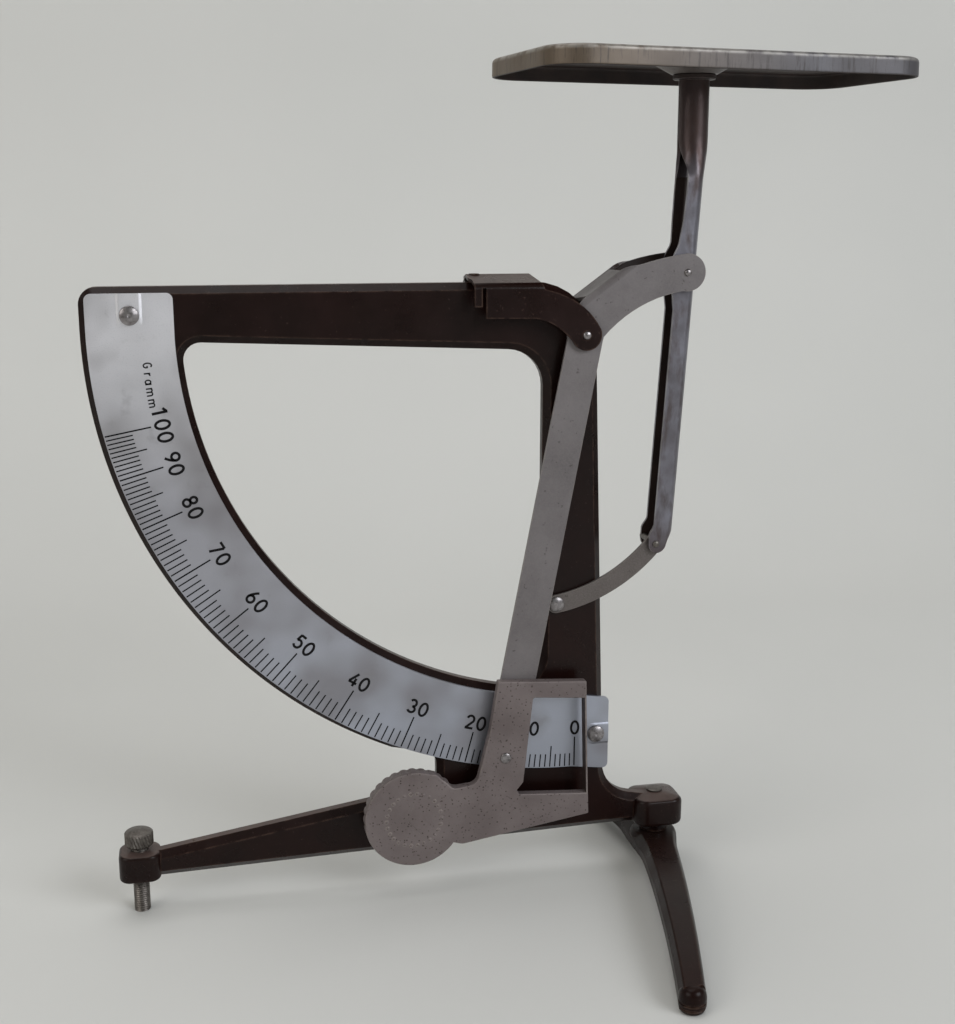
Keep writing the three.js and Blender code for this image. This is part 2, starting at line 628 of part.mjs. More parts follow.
// The tray without its dish, drawn square about the stem and then turned with the stem as the axis.
function trayShell() {
  const { length, width, corner, rim, top } = PAN;
  const outer = block(roundedRectangle(PAN_OFFSET, 0, length, width, corner), top - rim, top, 0.4);
  const inside = roundedRectangle(PAN_OFFSET, 0, length - 2 * SHEET, width - 2 * SHEET, corner - SHEET);
  const hollow = block(inside, top - rim - 1, top - SHEET);
  return outer.subtract(hollow).rotate([0, 0, PAN_TURN]).translate([TUBE.x, 0, 0]);
}

function pan() {
  const dishBottom = PAN.top - SHEET - PAN.dishDepth;
  const dishInside = turnedUpright([
    [0, dishBottom + SHEET], [4.2, dishBottom + SHEET], [PAN.dish - 1.5, PAN.top - 0.6], [PAN.dish, PAN.top],
    [PAN.dish, PAN.top + 1], [0, PAN.top + 1],
  ], TUBE.x, 0, 48);
  const dishOutside = turnedUpright([
    [0, dishBottom], [4.6, dishBottom], [PAN.dish - 1, PAN.top - 1.5], [PAN.dish + 0.8, PAN.top - SHEET / 2],
    [0, PAN.top - SHEET / 2],
  ], TUBE.x, 0, 48);
  return trayShell().add(dishOutside).subtract(dishInside)
    .subtract(rodUpright(TUBE.x, 0, PAN_RIVET_SHANK + FIT_GAP, 190, 210, 32));
}

function panFlange() {
  return rodUpright(TUBE.x, 0, FLANGE.radius, FLANGE.bottom, FLANGE.top, 40)
    .subtract(rodUpright(TUBE.x, 0, PAN_RIVET_SHANK + FIT_GAP, 190, 210, 32));
}

function panRivet() {
  const headBottom = PAN.top - PAN.dishDepth + FIT_GAP;
  return turnedUpright([
    [0, FLANGE.bottom - 7], [PAN_RIVET_SHANK, FLANGE.bottom - 7], [PAN_RIVET_SHANK, headBottom],
    [3.4, headBottom], [3.2, headBottom + 0.6], [1.8, headBottom + 1.1], [0, headBottom + 1.2],
  ], TUBE.x, 0, 32);
}

// ---------------------------------------------------------------- levelling screw and cross foot

function levellingScrew() {
  const { x, radius, head, headBottom, headTop } = SCREW;
  return turnedUpright([
    [0, 0], [radius - 0.4, 0], [radius, 0.5], [radius, headBottom],
    [head - 0.4, headBottom], [head, headBottom + 0.4], [head, headTop - 1],
    [head - 0.9, headTop - 0.25], [head * 0.4, headTop], [0, headTop],
  ], x, 0, 32);
}

// Both legs sweep the same way in plan and drop from the hub to their tips.
function footRing(y) {
  const s = Math.abs(y) / FOOT_TIP.y;
  const x = RIGHT_BOSS.x - (RIGHT_BOSS.x - FOOT_TIP.x) * s ** 1.3;
  const half = THREE.MathUtils.lerp(5.4, FOOT_TIP.radius, s ** 0.8);
  const top = FOOT_TOP - (FOOT_TOP - FOOT_TIP.height) * s ** 4;
  const bottom = FOOT_BOTTOM * (1 - s ** 4) + 0.3 * s ** 4;
  const chamfer = half * 0.4;
  const section = [
    [-half, bottom + 0.8], [-half + 0.8, bottom], [half - 0.8, bottom], [half, bottom + 0.8],
    [half, top - chamfer], [half - chamfer, top], [-half + chamfer, top], [-half, top - chamfer],
  ];
  return section.map(([across, z]) => [x + across, y, z]);
}

function crossFoot() {
  const rows = 24;
  const rings = [];
  for (let i = 0; i <= rows; i += 1) {
    rings.push(footRing(FOOT_TIP.y * (2 * i / rows - 1)));
  }
  const tips = [-1, 1].map(side => turnedUpright([
    [0, 0], [FOOT_TIP.radius - 0.8, 0], [FOOT_TIP.radius, 0.9], [FOOT_TIP.radius, FOOT_TIP.height - 1.4],
    [FOOT_TIP.radius - 1, FOOT_TIP.height - 0.3], [0, FOOT_TIP.height],
  ], FOOT_TIP.x, side * FOOT_TIP.y, 28));
  const hub = rodUpright(RIGHT_BOSS.x, 0, FOOT_HUB, FOOT_BOTTOM, FOOT_TOP, 40);
  return unite(loft(rings), hub, ...tips)
    .subtract(rodUpright(RIGHT_BOSS.x, 0, FOOT_RIVET + RUN_GAP, 0, 20));
}

function footCollar() {
  return rodUpright(RIGHT_BOSS.x, 0, 3.65, FOOT_TOP + 0.1, RIGHT_BOSS.bottom - FIT_GAP, 32)
    .subtract(rodUpright(RIGHT_BOSS.x, 0, FOOT_RIVET + FIT_GAP, 0, 20));
}

function footRivet() {
  const top = RIGHT_BOSS.top + FIT_GAP;
  const under = FOOT_BOTTOM - 0.1;
  return turnedUpright([
    [0, under - 1], [1.8, under - 0.8], [2.6, under], [FOOT_RIVET, under], [FOOT_RIVET, top], [2.1, top],
    [1.7, top + 0.45], [0, top + 0.6],
  ], RIGHT_BOSS.x, 0, 28);
}

// ---------------------------------------------------------------- materials and assembly

function paint(color, roughness = 0.5, metalness = 0.1) {
  return new THREE.MeshStandardMaterial({ color, roughness, metalness });
}

const frameBrown = () => paint(0x33221f, 0.35);
const beamGrey = () => paint(0x6c6766, 0.55);
const weightGrey = () => paint(0x6d625e, 0.6);
const panGrey = () => paint(0x6f6a6c, 0.5);
const brightSteel = () => paint(0x9a9a9c, 0.35, 0.9);
const dullSteel = () => paint(0x6a6865, 0.5, 0.8);
const aluminium = () => paint(0xa8adba, 0.35, 0.9);

const balance = new THREE.Group();
balance.name = 'letter_balance';

function addPiece(name, solid, material) {
  const mesh = new THREE.Mesh(toGeometry(solid).translate(-SCREW.x, 0, 0), material);
  mesh.name = name;
  balance.add(mesh);
}

addPiece('quadrant_frame', quadrantFrame(), frameBrown());
addPiece('scale_plate', scalePlate(), aluminium());
addPiece('scale_plate_rivet_upper', plateRivet(PLATE_RIVETS[0]), brightSteel());
addPiece('scale_plate_rivet_lower', plateRivet(PLATE_RIVETS[1]), brightSteel());
addPiece('bearing_bracket', bearingBracket(), frameBrown());
addPiece('bracket_rivet', bracketRivet(), dullSteel());
addPiece('main_pivot_pin', mainPivotPin(), brightSteel());
addPiece('beam', beam(), beamGrey());
addPiece('index_weight', indexWeight(), weightGrey());
addPiece('index_weight_rivet', indexRivet(), brightSteel());
addPiece('pan_stem', panStem(), beamGrey());
addPiece('pan_stem_upper_pin', panPin(), brightSteel());
addPiece('pan_stem_lower_pin', linkPin(), brightSteel());
addPiece('guide_link', guideLink(), beamGrey());
addPiece('guide_link_rivet', linkRivet(), brightSteel());
addPiece('pan', pan(), panGrey());
addPiece('pan_flange', panFlange(), panGrey());
addPiece('pan_rivet', panRivet(), dullSteel());
addPiece('levelling_screw', levellingScrew(), dullSteel());
addPiece('cross_foot', crossFoot(), frameBrown());
addPiece('cross_foot_collar', footCollar(), frameBrown());
addPiece('cross_foot_rivet', footRivet(), dullSteel());

export default balance;
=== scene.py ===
"""Quadrant letter balance: the looks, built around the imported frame.

Lengths are in millimetres, with the main pivot at X = 0 and the table at Z = 0, until finish_piece() turns
them into the frame's metres. +X runs towards the pan, +Y away from the dial side and +Z up.
"""

import json
import math

import bmesh
import bpy
from mathutils import Matrix, Vector


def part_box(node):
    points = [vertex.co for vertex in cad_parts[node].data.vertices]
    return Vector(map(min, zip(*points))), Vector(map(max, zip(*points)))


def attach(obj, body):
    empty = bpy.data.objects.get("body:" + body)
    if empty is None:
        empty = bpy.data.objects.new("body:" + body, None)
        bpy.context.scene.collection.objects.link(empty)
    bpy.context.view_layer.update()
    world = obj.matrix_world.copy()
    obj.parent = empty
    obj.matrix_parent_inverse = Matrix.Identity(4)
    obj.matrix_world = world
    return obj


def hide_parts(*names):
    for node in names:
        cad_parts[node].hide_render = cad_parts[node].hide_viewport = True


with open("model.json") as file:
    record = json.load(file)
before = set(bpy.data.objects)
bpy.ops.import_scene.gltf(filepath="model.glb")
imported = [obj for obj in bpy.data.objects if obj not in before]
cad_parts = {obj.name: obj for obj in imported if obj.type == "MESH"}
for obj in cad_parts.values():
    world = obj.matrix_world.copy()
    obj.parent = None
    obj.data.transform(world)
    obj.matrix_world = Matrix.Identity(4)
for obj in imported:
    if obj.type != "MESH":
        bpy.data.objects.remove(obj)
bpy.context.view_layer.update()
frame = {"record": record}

MM = 0.001
JOINTS = {joint["name"]: joint for joint in frame["record"]["behaviour"]["joints"]}
PIVOT_X = JOINTS["beam_swing"]["pos_m"][0] / MM
PIVOT_Z = JOINTS["beam_swing"]["pos_m"][2] / MM
PAN_PIN_X = JOINTS["pan_stem_hinge"]["pos_m"][0] / MM - PIVOT_X
PAN_PIN_Z = JOINTS["pan_stem_hinge"]["pos_m"][2] / MM
LINK_RIVET_X = JOINTS["guide_link_hinge"]["pos_m"][0] / MM - PIVOT_X
LINK_RIVET_Z = JOINTS["guide_link_hinge"]["pos_m"][2] / MM
LINK_PIN_X = PAN_PIN_X + LINK_RIVET_X
LINK_PIN_Z = PAN_PIN_Z + LINK_RIVET_Z - PIVOT_Z


def node_span(node, axis):
    """(low, high) of a CAD node along axis 0, 1 or 2, in millimetres with the pivot at X = 0."""
    low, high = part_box(node)
    shift = PIVOT_X if axis == 0 else 0
    return low[axis] / MM - shift, high[axis] / MM - shift


SHEET = 0.8
FRAME_HALF = 2.8
FRAME_EDGE = 1.7
LINK_NEAR = -node_span("guide_link", 1)[0]
STEM_HALF = node_span("pan_stem", 1)[1]
BEAM_HALF = node_span("beam", 1)[1]
BRACKET_HALF = node_span("bearing_bracket", 1)[1]
PLATE_FRONT = -node_span("scale_plate", 1)[0]
INDEX_FRONT = -node_span("index_weight", 1)[0]
INDEX_BACK = BEAM_HALF + 0.05
DISC_BACK = PLATE_FRONT + 1.2

ARC_X = -1.5
ARC_Z = 143.4
RIM_IN = 93
RIM_OUT = 115.2
PLATE_IN = 94.4
PLATE_OUT = 113.8
BAR_TOP = 152.6
SCREW_X = -PIVOT_X
BOSS_X = JOINTS["cross_foot_swivel"]["pos_m"][0] / MM - PIVOT_X
PAN_BOTTOM, PAN_TOP = node_span("pan", 2)
INDEX_RIVET = (-19.7, 35.4)
DISC = (-43, 21)
DISC_RADIUS = 12.4


# ------------------------------------------------------------------ outlines, in X and Z

def arc(cx, cz, radius, start, end, steps):
    """Points along a circle, with the angles in degrees."""
    angles = [math.radians(start + (end - start) * i / steps) for i in range(steps + 1)]
    return [(cx + radius * math.cos(a), cz + radius * math.sin(a)) for a in angles]


def bezier(p0, p1, p2, steps=10):
    """Points along a quadratic curve, both ends included."""
    points = []
    for i in range(steps + 1):
        t = i / steps
        a, b, c = (1 - t) ** 2, 2 * t * (1 - t), t ** 2
        points.append((a * p0[0] + b * p1[0] + c * p2[0], a * p0[1] + b * p1[1] + c * p2[1]))
    return points


def soft_polygon(corners, steps=8):
    """A closed outline whose (x, z, radius) corners are rounded; a corner with no radius stays a point."""
    points = []
    for i, corner in enumerate(corners):
        if len(corner) < 3 or corner[2] == 0:
            points.append((corner[0], corner[1]))
            continue
        here = Vector(corner[:2])
        before = (Vector(corners[i - 1][:2]) - here).normalized()
        after = (Vector(corners[(i + 1) % len(corners)][:2]) - here).normalized()
        half = before.angle(after) / 2
        reach = corner[2] / math.tan(half)
        centre = here + (before + after).normalized() * (corner[2] / math.sin(half))
        first = here + before * reach - centre
        turn = first.angle_signed(here + after * reach - centre)
        for step in range(steps + 1):
            spoke = first.copy()
            spoke.rotate(Matrix.Rotation(-turn * step / steps, 2))
            points.append(tuple(centre + spoke))
    return points


def circle(x, z, radius, steps=32):
    return arc(x, z, radius, 0, 360, steps)[:-1]


def smooth_step(value, low, high):
    share = min(1.0, max(0.0, (value - low) / (high - low)))
    return share * share * (3 - 2 * share)


# ------------------------------------------------------------------ mesh builders

def evaluated_mesh(obj):
    """The object's mesh with its modifiers applied; the object itself is deleted."""
    depsgraph = bpy.context.evaluated_depsgraph_get()
    mesh = bpy.data.meshes.new_from_object(obj.evaluated_get(depsgraph))
    data = obj.data
    bpy.data.objects.remove(obj)
    if isinstance(data, bpy.types.Curve):
        bpy.data.curves.remove(data)
    return mesh


def temporary(data):
    obj = bpy.data.objects.new("temporary", data)
    bpy.context.collection.objects.link(obj)
    return obj


def filled(outlines, depth=0.0, edge=0.0, rounding=3):
    """The area inside closed outlines as a mesh in X and Z, thickened by depth and with edges rounded to radius edge.

    With rounding 0 the edges are chamfered instead.
    """
    curve = bpy.data.curves.new("outline", "CURVE")
    curve.dimensions = "2D"
    curve.fill_mode = "BOTH"
    curve.extrude = max(depth / 2 - edge, 0)
    curve.bevel_depth = edge
    curve.bevel_resolution = rounding
    curve.offset = -edge
    for outline in outlines:
        spline = curve.splines.new("POLY")
        spline.points.add(len(outline) - 1)
        for point, (x, z) in zip(spline.points, outline):
            point.co = (x, z, 0, 1)
        spline.use_cyclic_u = True
    mesh = evaluated_mesh(temporary(curve))
    mesh.transform(Matrix.Rotation(math.pi / 2, 4, "X"))
    return mesh


def welded(mesh, distance=0.002):
    """Joins vertices that coincide and turns every face outwards."""
    bm = bmesh.new()
    bm.from_mesh(mesh)
    bmesh.ops.remove_doubles(bm, verts=bm.verts, dist=distance)
    bmesh.ops.recalc_face_normals(bm, faces=bm.faces)
    bm.to_mesh(mesh)
    bm.free()
    return mesh


def slab(outlines, near, far, edge, rounding=3):
    """A flat piece with rounded edges between two depths; near and far are Y values."""
    mesh = filled(outlines, far - near, edge, rounding)
    mesh.transform(Matrix.Translation((0, (near + far) / 2, 0)))
    return welded(mesh)


def with_modifier(mesh, kind, **settings):
    obj = temporary(mesh)
    modifier = obj.modifiers.new(kind.lower(), kind)
    for key, value in settings.items():
        setattr(modifier, key, value)
    return evaluated_mesh(obj)


def boolean(mesh, other, operation):
    tool = temporary(other)
    result = with_modifier(mesh, "BOOLEAN", object=tool, operation=operation, solver="EXACT")
    bpy.data.objects.remove(tool)
    return result


def bent_sheet(outlines, cuts, mapping, thickness=SHEET, edge=0.14):
    """A flat pattern in (u, v), cut along each v in cuts, bent by mapping(u, v) and given its thickness."""
    mesh = filled(outlines)
    bm = bmesh.new()
    bm.from_mesh(mesh)
    bmesh.ops.remove_doubles(bm, verts=bm.verts, dist=0.005)
    for v in cuts:
        geometry = bm.verts[:] + bm.edges[:] + bm.faces[:]
        bmesh.ops.bisect_plane(bm, geom=geometry, plane_co=(0, 0, v), plane_no=(0, 0, 1))
    for vertex in bm.verts:
        vertex.co = mapping(vertex.co.x, vertex.co.z)
    bmesh.ops.recalc_face_normals(bm, faces=bm.faces)
    bmesh.ops.dissolve_limit(bm, angle_limit=math.radians(0.4), verts=bm.verts, edges=bm.edges)
    bm.to_mesh(mesh)
    bm.free()
    mesh = with_modifier(mesh, "SOLIDIFY", thickness=thickness, offset=0)
    return with_modifier(mesh, "BEVEL", width=edge, segments=2, limit_method="ANGLE",
                         angle_limit=math.radians(50))


def skin(rings, closed=True, loop=False):
    """A surface over a row of rings. A ring of one point is a pole; otherwise an end ring gets a flat cap.

    With loop, the last ring joins the first instead, as round a washer.
    """
    bm = bmesh.new()
    rows = [[bm.verts.new(point) for point in ring] for ring in rings]
    if loop:
        rows.append(rows[0])
    for low, high in zip(rows, rows[1:]):
        count = max(len(low), len(high))
        for i in range(count if closed else count - 1):
            j = (i + 1) % count
            if len(low) == 1:
                bm.faces.new((low[0], high[j], high[i]))
            elif len(high) == 1:
                bm.faces.new((low[i], low[j], high[0]))
            else:
                bm.faces.new((low[i], low[j], high[j], high[i]))
    if closed and not loop:
        for row in (rows[0], rows[-1]):
            if len(row) > 1:
                bm.faces.new(row)
    bmesh.ops.recalc_face_normals(bm, faces=bm.faces)
    mesh = bpy.data.meshes.new("skin")
    bm.to_mesh(mesh)
    bm.free()
    return mesh


def turned(profile, x, z, axis="Y", steps=48, ripple=None, loop=False):
    """A turned piece about Y through (x, z), or about Z through (x, 0) with z as its height.

    profile holds (radius, height) points; ripple(angle, radius, height) may change the radius for teeth or threads.
    """
    rings = []
    for radius, height in profile:
        if radius == 0:
            angles = [0]
        else:
            angles = [2 * math.pi * i / steps for i in range(steps)]
        ring = []
        for a in angles:
            r = ripple(a, radius, height) if ripple and radius else radius
            if axis == "Y":
                ring.append((x + r * math.cos(a), height, z + r * math.sin(a)))
            else:
                ring.append((x + r * math.cos(a), r * math.sin(a), z + height))
        rings.append(ring)
    return skin(rings, loop=loop)


def dome(radius, height, rise, steps=5):
    """Profile points of a domed head, from its rim at height to its pole; a negative rise domes downwards."""
    angles = [math.pi / 2 * i / steps for i in range(steps + 1)]
    points = [(radius * math.cos(a), height + rise * math.sin(a)) for a in angles]
    return points[:-1] + [(0, height + rise)]


def rounded_rectangle(width, depth, corner, side_steps=4, corner_steps=6):
    """Points round a rectangle centred on the origin, anticlockwise."""
    points = []
    for quarter in range(4):
        signs = ((1, -1), (1, 1), (-1, 1), (-1, -1))[quarter]
        cx = signs[0] * (width / 2 - corner)
        cy = signs[1] * (depth / 2 - corner)
        start = -90 + 90 * quarter
        points += arc(cx, cy, corner, start, start + 90, corner_steps)
        following = ((1, 1), (-1, 1), (-1, -1), (1, -1))[quarter]
        goal = arc(following[0] * (width / 2 - corner), following[1] * (depth / 2 - corner), corner,
                   start + 90, start + 90, 1)[0]
        last = points[-1]
        for step in range(1, side_steps):
            share = step / side_steps
            points.append((last[0] + (goal[0] - last[0]) * share, last[1] + (goal[1] - last[1]) * share))
    return points


def rounded_block(x, width, depth, corner, bottom, top, edge, crown=0.0):
    """An upright block with rounded corners and edges, and a top that rises by crown in the middle."""
    rings = []
    levels = [(edge * (1 - math.cos(a)), edge * math.sin(a)) for a in (0, 0.5, 1.0, math.pi / 2)]
    for rise, inset in levels:
        inset = edge - inset
        rings.append((bottom + rise, inset))
    for rise, inset in reversed(levels):
        inset = edge - inset
        rings.append((top - rise, inset))
    solid = []
    for z, inset in rings:
        ring = rounded_rectangle(width - 2 * inset, depth - 2 * inset, max(corner - inset, 0.3))
        solid.append([(x + px, py, z) for px, py in ring])
    for share in (0.75, 0.5, 0.25):
        ring = rounded_rectangle((width - 2 * edge) * share, (depth - 2 * edge) * share, (corner - edge) * share)
        solid.append([(x + px, py, top + crown * (1 - share ** 2)) for px, py in ring])
    solid.append([(x, 0, top + crown)])
    return skin(solid)


def joined(*meshes):
    """One mesh holding all of these."""
    bm = bmesh.new()
    for mesh in meshes:
        bm.from_mesh(mesh)
        bpy.data.meshes.remove(mesh)
    mesh = bpy.data.meshes.new("joined")
    bm.to_mesh(mesh)
    bm.free()
    return mesh


def finish_piece(name, mesh, material, body, nodes=(), smooth_angle=38, second=None, takes_second=None):
    """Turns a millimetre mesh into a named piece on a CAD body, standing for the CAD nodes it replaces.

    Faces for which takes_second(polygon) holds get the second material.
    """
    chosen = [polygon.index for polygon in mesh.polygons if takes_second and takes_second(polygon)]
    mesh.shade_smooth()
    mesh.set_sharp_from_angle(angle=math.radians(smooth_angle))
    mesh = with_modifier(mesh, "WEIGHTED_NORMAL", keep_sharp=True, weight=80)
    mesh.transform(Matrix.Translation((PIVOT_X * MM, 0, 0)) @ Matrix.Scale(MM, 4))
    mesh.materials.clear()
    mesh.materials.append(material)
    if second:
        mesh.materials.append(second)
        for index in chosen:
            mesh.polygons[index].material_index = 1
    mesh.name = name
    obj = bpy.data.objects.new(name, mesh)
    bpy.context.collection.objects.link(obj)
    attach(obj, body)
    if nodes:
        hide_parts(*nodes)
    return obj


# ------------------------------------------------------------------ materials

def linear(red, green, blue):
    """An sRGB colour of 0 to 255 values as the linear RGBA that nodes take."""
    def channel(value):
        value /= 255
        return value / 12.92 if value <= 0.04045 else ((value + 0.055) / 1.055) ** 2.4
    return channel(red), channel(green), channel(blue), 1


class Shader:
    """A node material with short names for the few kinds of node used here."""

    def __init__(self, name, metallic=0.0):
        self.material = bpy.data.materials.new(name)
        self.material.use_nodes = True
        self.tree = self.material.node_tree
        self.surface = self.tree.nodes["Principled BSDF"]
        self.surface.inputs["Metallic"].default_value = metallic
        self.position = self.tree.nodes.new("ShaderNodeTexCoord").outputs["Object"]

    def node(self, kind, **settings):
        made = self.tree.nodes.new(kind)
        for key, value in settings.items():
            setattr(made, key, value)
        return made

    def link(self, source, target):
        if isinstance(source, bpy.types.NodeSocket):
            self.tree.links.new(source, target)
        else:
            target.default_value = source

    def stretched(self, x, y, z):
        """Object coordinates scaled along each axis, for grain that runs one way."""
        mapping = self.node("ShaderNodeMapping")
        mapping.inputs["Scale"].default_value = (x, y, z)
        self.link(self.position, mapping.inputs["Vector"])
        return mapping.outputs["Vector"]

    def noise(self, size, detail=4.0, roughness=0.55, vector=None):
        """Noise whose blobs are about size millimetres across."""
        noise = self.node("ShaderNodeTexNoise")
        noise.inputs["Scale"].default_value = 1 / (size * MM)
        noise.inputs["Detail"].default_value = detail
        noise.inputs["Roughness"].default_value = roughness
        self.link(vector or self.position, noise.inputs["Vector"])
        return noise.outputs["Fac"]

    def coordinate(self, axis):
        """Position in the shared frame along "X", "Y" or "Z", in metres."""
        split = self.node("ShaderNodeSeparateXYZ")
        self.link(self.position, split.inputs["Vector"])
        return split.outputs[axis]

    def facing_up(self):
        """1 on faces that look straight up, 0 on upright ones."""
        split = self.node("ShaderNodeSeparateXYZ")
        self.link(self.node("ShaderNodeNewGeometry").outputs["Normal"], split.inputs["Vector"])
        return split.outputs["Z"]

    def cells(self, size):
        """Distance to scattered points about size millimetres apart."""
        cells = self.node("ShaderNodeTexVoronoi")
        cells.inputs["Scale"].default_value = 1 / (size * MM)
        self.link(self.position, cells.inputs["Vector"])
        return cells.outputs["Distance"]

    def ramp(self, value, low, high, low_out=0.0, high_out=1.0):
        """value rescaled from low..high to low_out..high_out and clamped."""
        ramp = self.node("ShaderNodeMapRange", clamp=True)
        for key, number in (("From Min", low), ("From Max", high), ("To Min", low_out), ("To Max", high_out)):
            ramp.inputs[key].default_value = number
        self.link(value, ramp.inputs["Value"])
        return ramp.outputs["Result"]

    def maths(self, operation, a, b):
        node = self.node("ShaderNodeMath", operation=operation)
        self.link(a, node.inputs[0])
        self.link(b, node.inputs[1])
        return node.outputs[0]

    def mix(self, share, a, b):
        """A colour between a and b."""
        mix = self.node("ShaderNodeMix", data_type="RGBA")
        self.link(share, mix.inputs["Factor"])
        self.link(a, mix.inputs[6])
        self.link(b, mix.inputs[7])
        return mix.outputs[2]

    def worn_edges(self, radius, low=0.02, high=0.25):
        """1 on sharp edges, fading to 0 on flat faces."""
        bevel = self.node("ShaderNodeBevel", samples=4)
        bevel.inputs["Radius"].default_value = radius * MM
        normal = self.node("ShaderNodeNewGeometry").outputs["Normal"]
        dot = self.node("ShaderNodeVectorMath", operation="DOT_PRODUCT")
        self.link(bevel.outputs["Normal"], dot.inputs[0])
        self.link(normal, dot.inputs[1])
        return self.ramp(dot.outputs["Value"], 1 - low, 1 - high)

    def bump(self, height, depth, strength=1.0):
        """Relief with the given depth in millimetres."""
        bump = self.node("ShaderNodeBump")
        bump.inputs["Strength"].default_value = strength
        bump.inputs["Distance"].default_value = depth * MM
        self.link(height, bump.inputs["Height"])
        self.link(bump.outputs["Normal"], self.surface.inputs["Normal"])

    def paint(self, colour, roughness):
        self.link(colour, self.surface.inputs["Base Color"])
        self.link(roughness, self.surface.inputs["Roughness"])
        return self.material


def brown_enamel(name, top_highlight, gloss):
    """Nearly black brown. Its edges are lighter, partly paint wear and partly a painted highlight, and faces that look
    up are lighter by a painted sheen of the given strength.
    """
    shader = Shader(name)
    colour = shader.mix(shader.ramp(shader.noise(18), 0.3, 0.7), linear(18, 7, 5), linear(30, 12, 9))
    # The lightened edges are partly paint wear and partly a painted highlight along every edge.
    wear = shader.maths("MULTIPLY", shader.worn_edges(0.6, 0.005, 0.07), shader.ramp(shader.noise(2.2), 0.35, 0.6))
    colour = shader.mix(shader.maths("MULTIPLY", wear, 0.3), colour, linear(128, 102, 88))
    specks = shader.ramp(shader.noise(0.7, 2), 0.66, 0.74)
    colour = shader.mix(shader.maths("MULTIPLY", specks, 0.3), colour, linear(88, 70, 64))
    # Painted sheen: faces that look up are lightened in patches, as if they caught the light.
    lit_top = shader.ramp(shader.facing_up(), 0.8, 0.98, 0, top_highlight)
    colour = shader.mix(shader.maths("MULTIPLY", lit_top, shader.ramp(shader.noise(7), 0.25, 0.6, 0.6, 1)), colour,
                        linear(126, 108, 102))
    shader.bump(shader.noise(1.6, 3), 0.05, 0.6)
    shader.surface.inputs["Specular IOR Level"].default_value = gloss
    return shader.paint(colour, shader.ramp(shader.noise(9), 0.3, 0.7, 0.24, 0.38))


def lever_paint(name, light, dark):
    shader = Shader(name, metallic=0.25)
    colour = shader.mix(shader.ramp(shader.noise(12), 0.3, 0.7), linear(*light), linear(*dark))
    grain = shader.ramp(shader.noise(0.35, 3), 0.4, 0.75)
    colour = shader.mix(shader.maths("MULTIPLY", grain, 0.35), colour, linear(128, 122, 120))
    spots = shader.ramp(shader.noise(1.1, 2), 0.68, 0.74)
    colour = shader.mix(shader.maths("MULTIPLY", spots, 0.55), colour, linear(58, 50, 47))
    wear = shader.maths("MULTIPLY", shader.worn_edges(0.35, 0.01, 0.2), shader.ramp(shader.noise(3), 0.38, 0.6))
    colour = shader.mix(shader.maths("MULTIPLY", wear, 0.7), colour, linear(158, 148, 140))
    shader.bump(shader.noise(0.5, 3), 0.03, 0.6)
    return shader.paint(colour, shader.ramp(shader.noise(6), 0.3, 0.7, 0.42, 0.58))


def stem_metal():
    """Worn bare grey that darkens to brown up the tube, partly brown paint and partly painted shade under the pan, and
    darkens to brown at the lower end.
    """
    shader = Shader("stem_metal", metallic=0.6)
    colour = shader.mix(shader.ramp(shader.noise(7), 0.3, 0.7), linear(128, 127, 136), linear(98, 95, 100))
    grime = shader.noise(2.2, 5, vector=shader.stretched(1, 1, 0.3))
    colour = shader.mix(shader.ramp(grime, 0.5, 0.68, 0, 0.7), colour, linear(70, 58, 54))
    # Brown paint together with painted shade: the tube darkens to brown above about 176 mm, under the pan.
    brown_and_shade = shader.ramp(shader.maths("ADD", shader.coordinate("Z"), shader.maths("MULTIPLY", grime, 0.012)), 0.176, 0.19)
    brown_and_shade = shader.maths("MAXIMUM", brown_and_shade, shader.ramp(shader.coordinate("Z"), 0.095, 0.086, 0, 0.8))
    colour = shader.mix(shader.maths("MULTIPLY", brown_and_shade, 0.85), colour, linear(62, 44, 39))
    wear = shader.maths("MULTIPLY", shader.worn_edges(0.35, 0.01, 0.2), shader.ramp(shader.noise(3), 0.38, 0.6))
    colour = shader.mix(shader.maths("MULTIPLY", wear, 0.6), colour, linear(170, 164, 160))
    shader.bump(shader.noise(0.8, 4), 0.04, 0.6)
    return shader.paint(colour, shader.ramp(grime, 0.4, 0.7, 0.28, 0.48))


def speckled_casting():
    shader = Shader("speckled_casting", metallic=0.2)
    colour = shader.mix(shader.ramp(shader.noise(10), 0.3, 0.7), linear(118, 108, 107), linear(100, 90, 89))
    specks = shader.ramp(shader.cells(0.85), 0.3, 0.14)
    patchy = shader.ramp(shader.noise(1.3, 2), 0.4, 0.54)
    colour = shader.mix(shader.maths("MULTIPLY", specks, patchy), colour, linear(58, 46, 42))
    wear = shader.maths("MULTIPLY", shader.worn_edges(0.6, 0.01, 0.2), shader.ramp(shader.noise(2.5), 0.35, 0.6))
    colour = shader.mix(shader.maths("MULTIPLY", wear, 0.6), colour, linear(170, 160, 152))
    relief = shader.maths("SUBTRACT", shader.noise(0.8, 3), shader.maths("MULTIPLY", specks, 0.35))
    shader.bump(relief, 0.09, 0.7)
    return shader.paint(colour, shader.ramp(shader.noise(4), 0.3, 0.7, 0.42, 0.6))


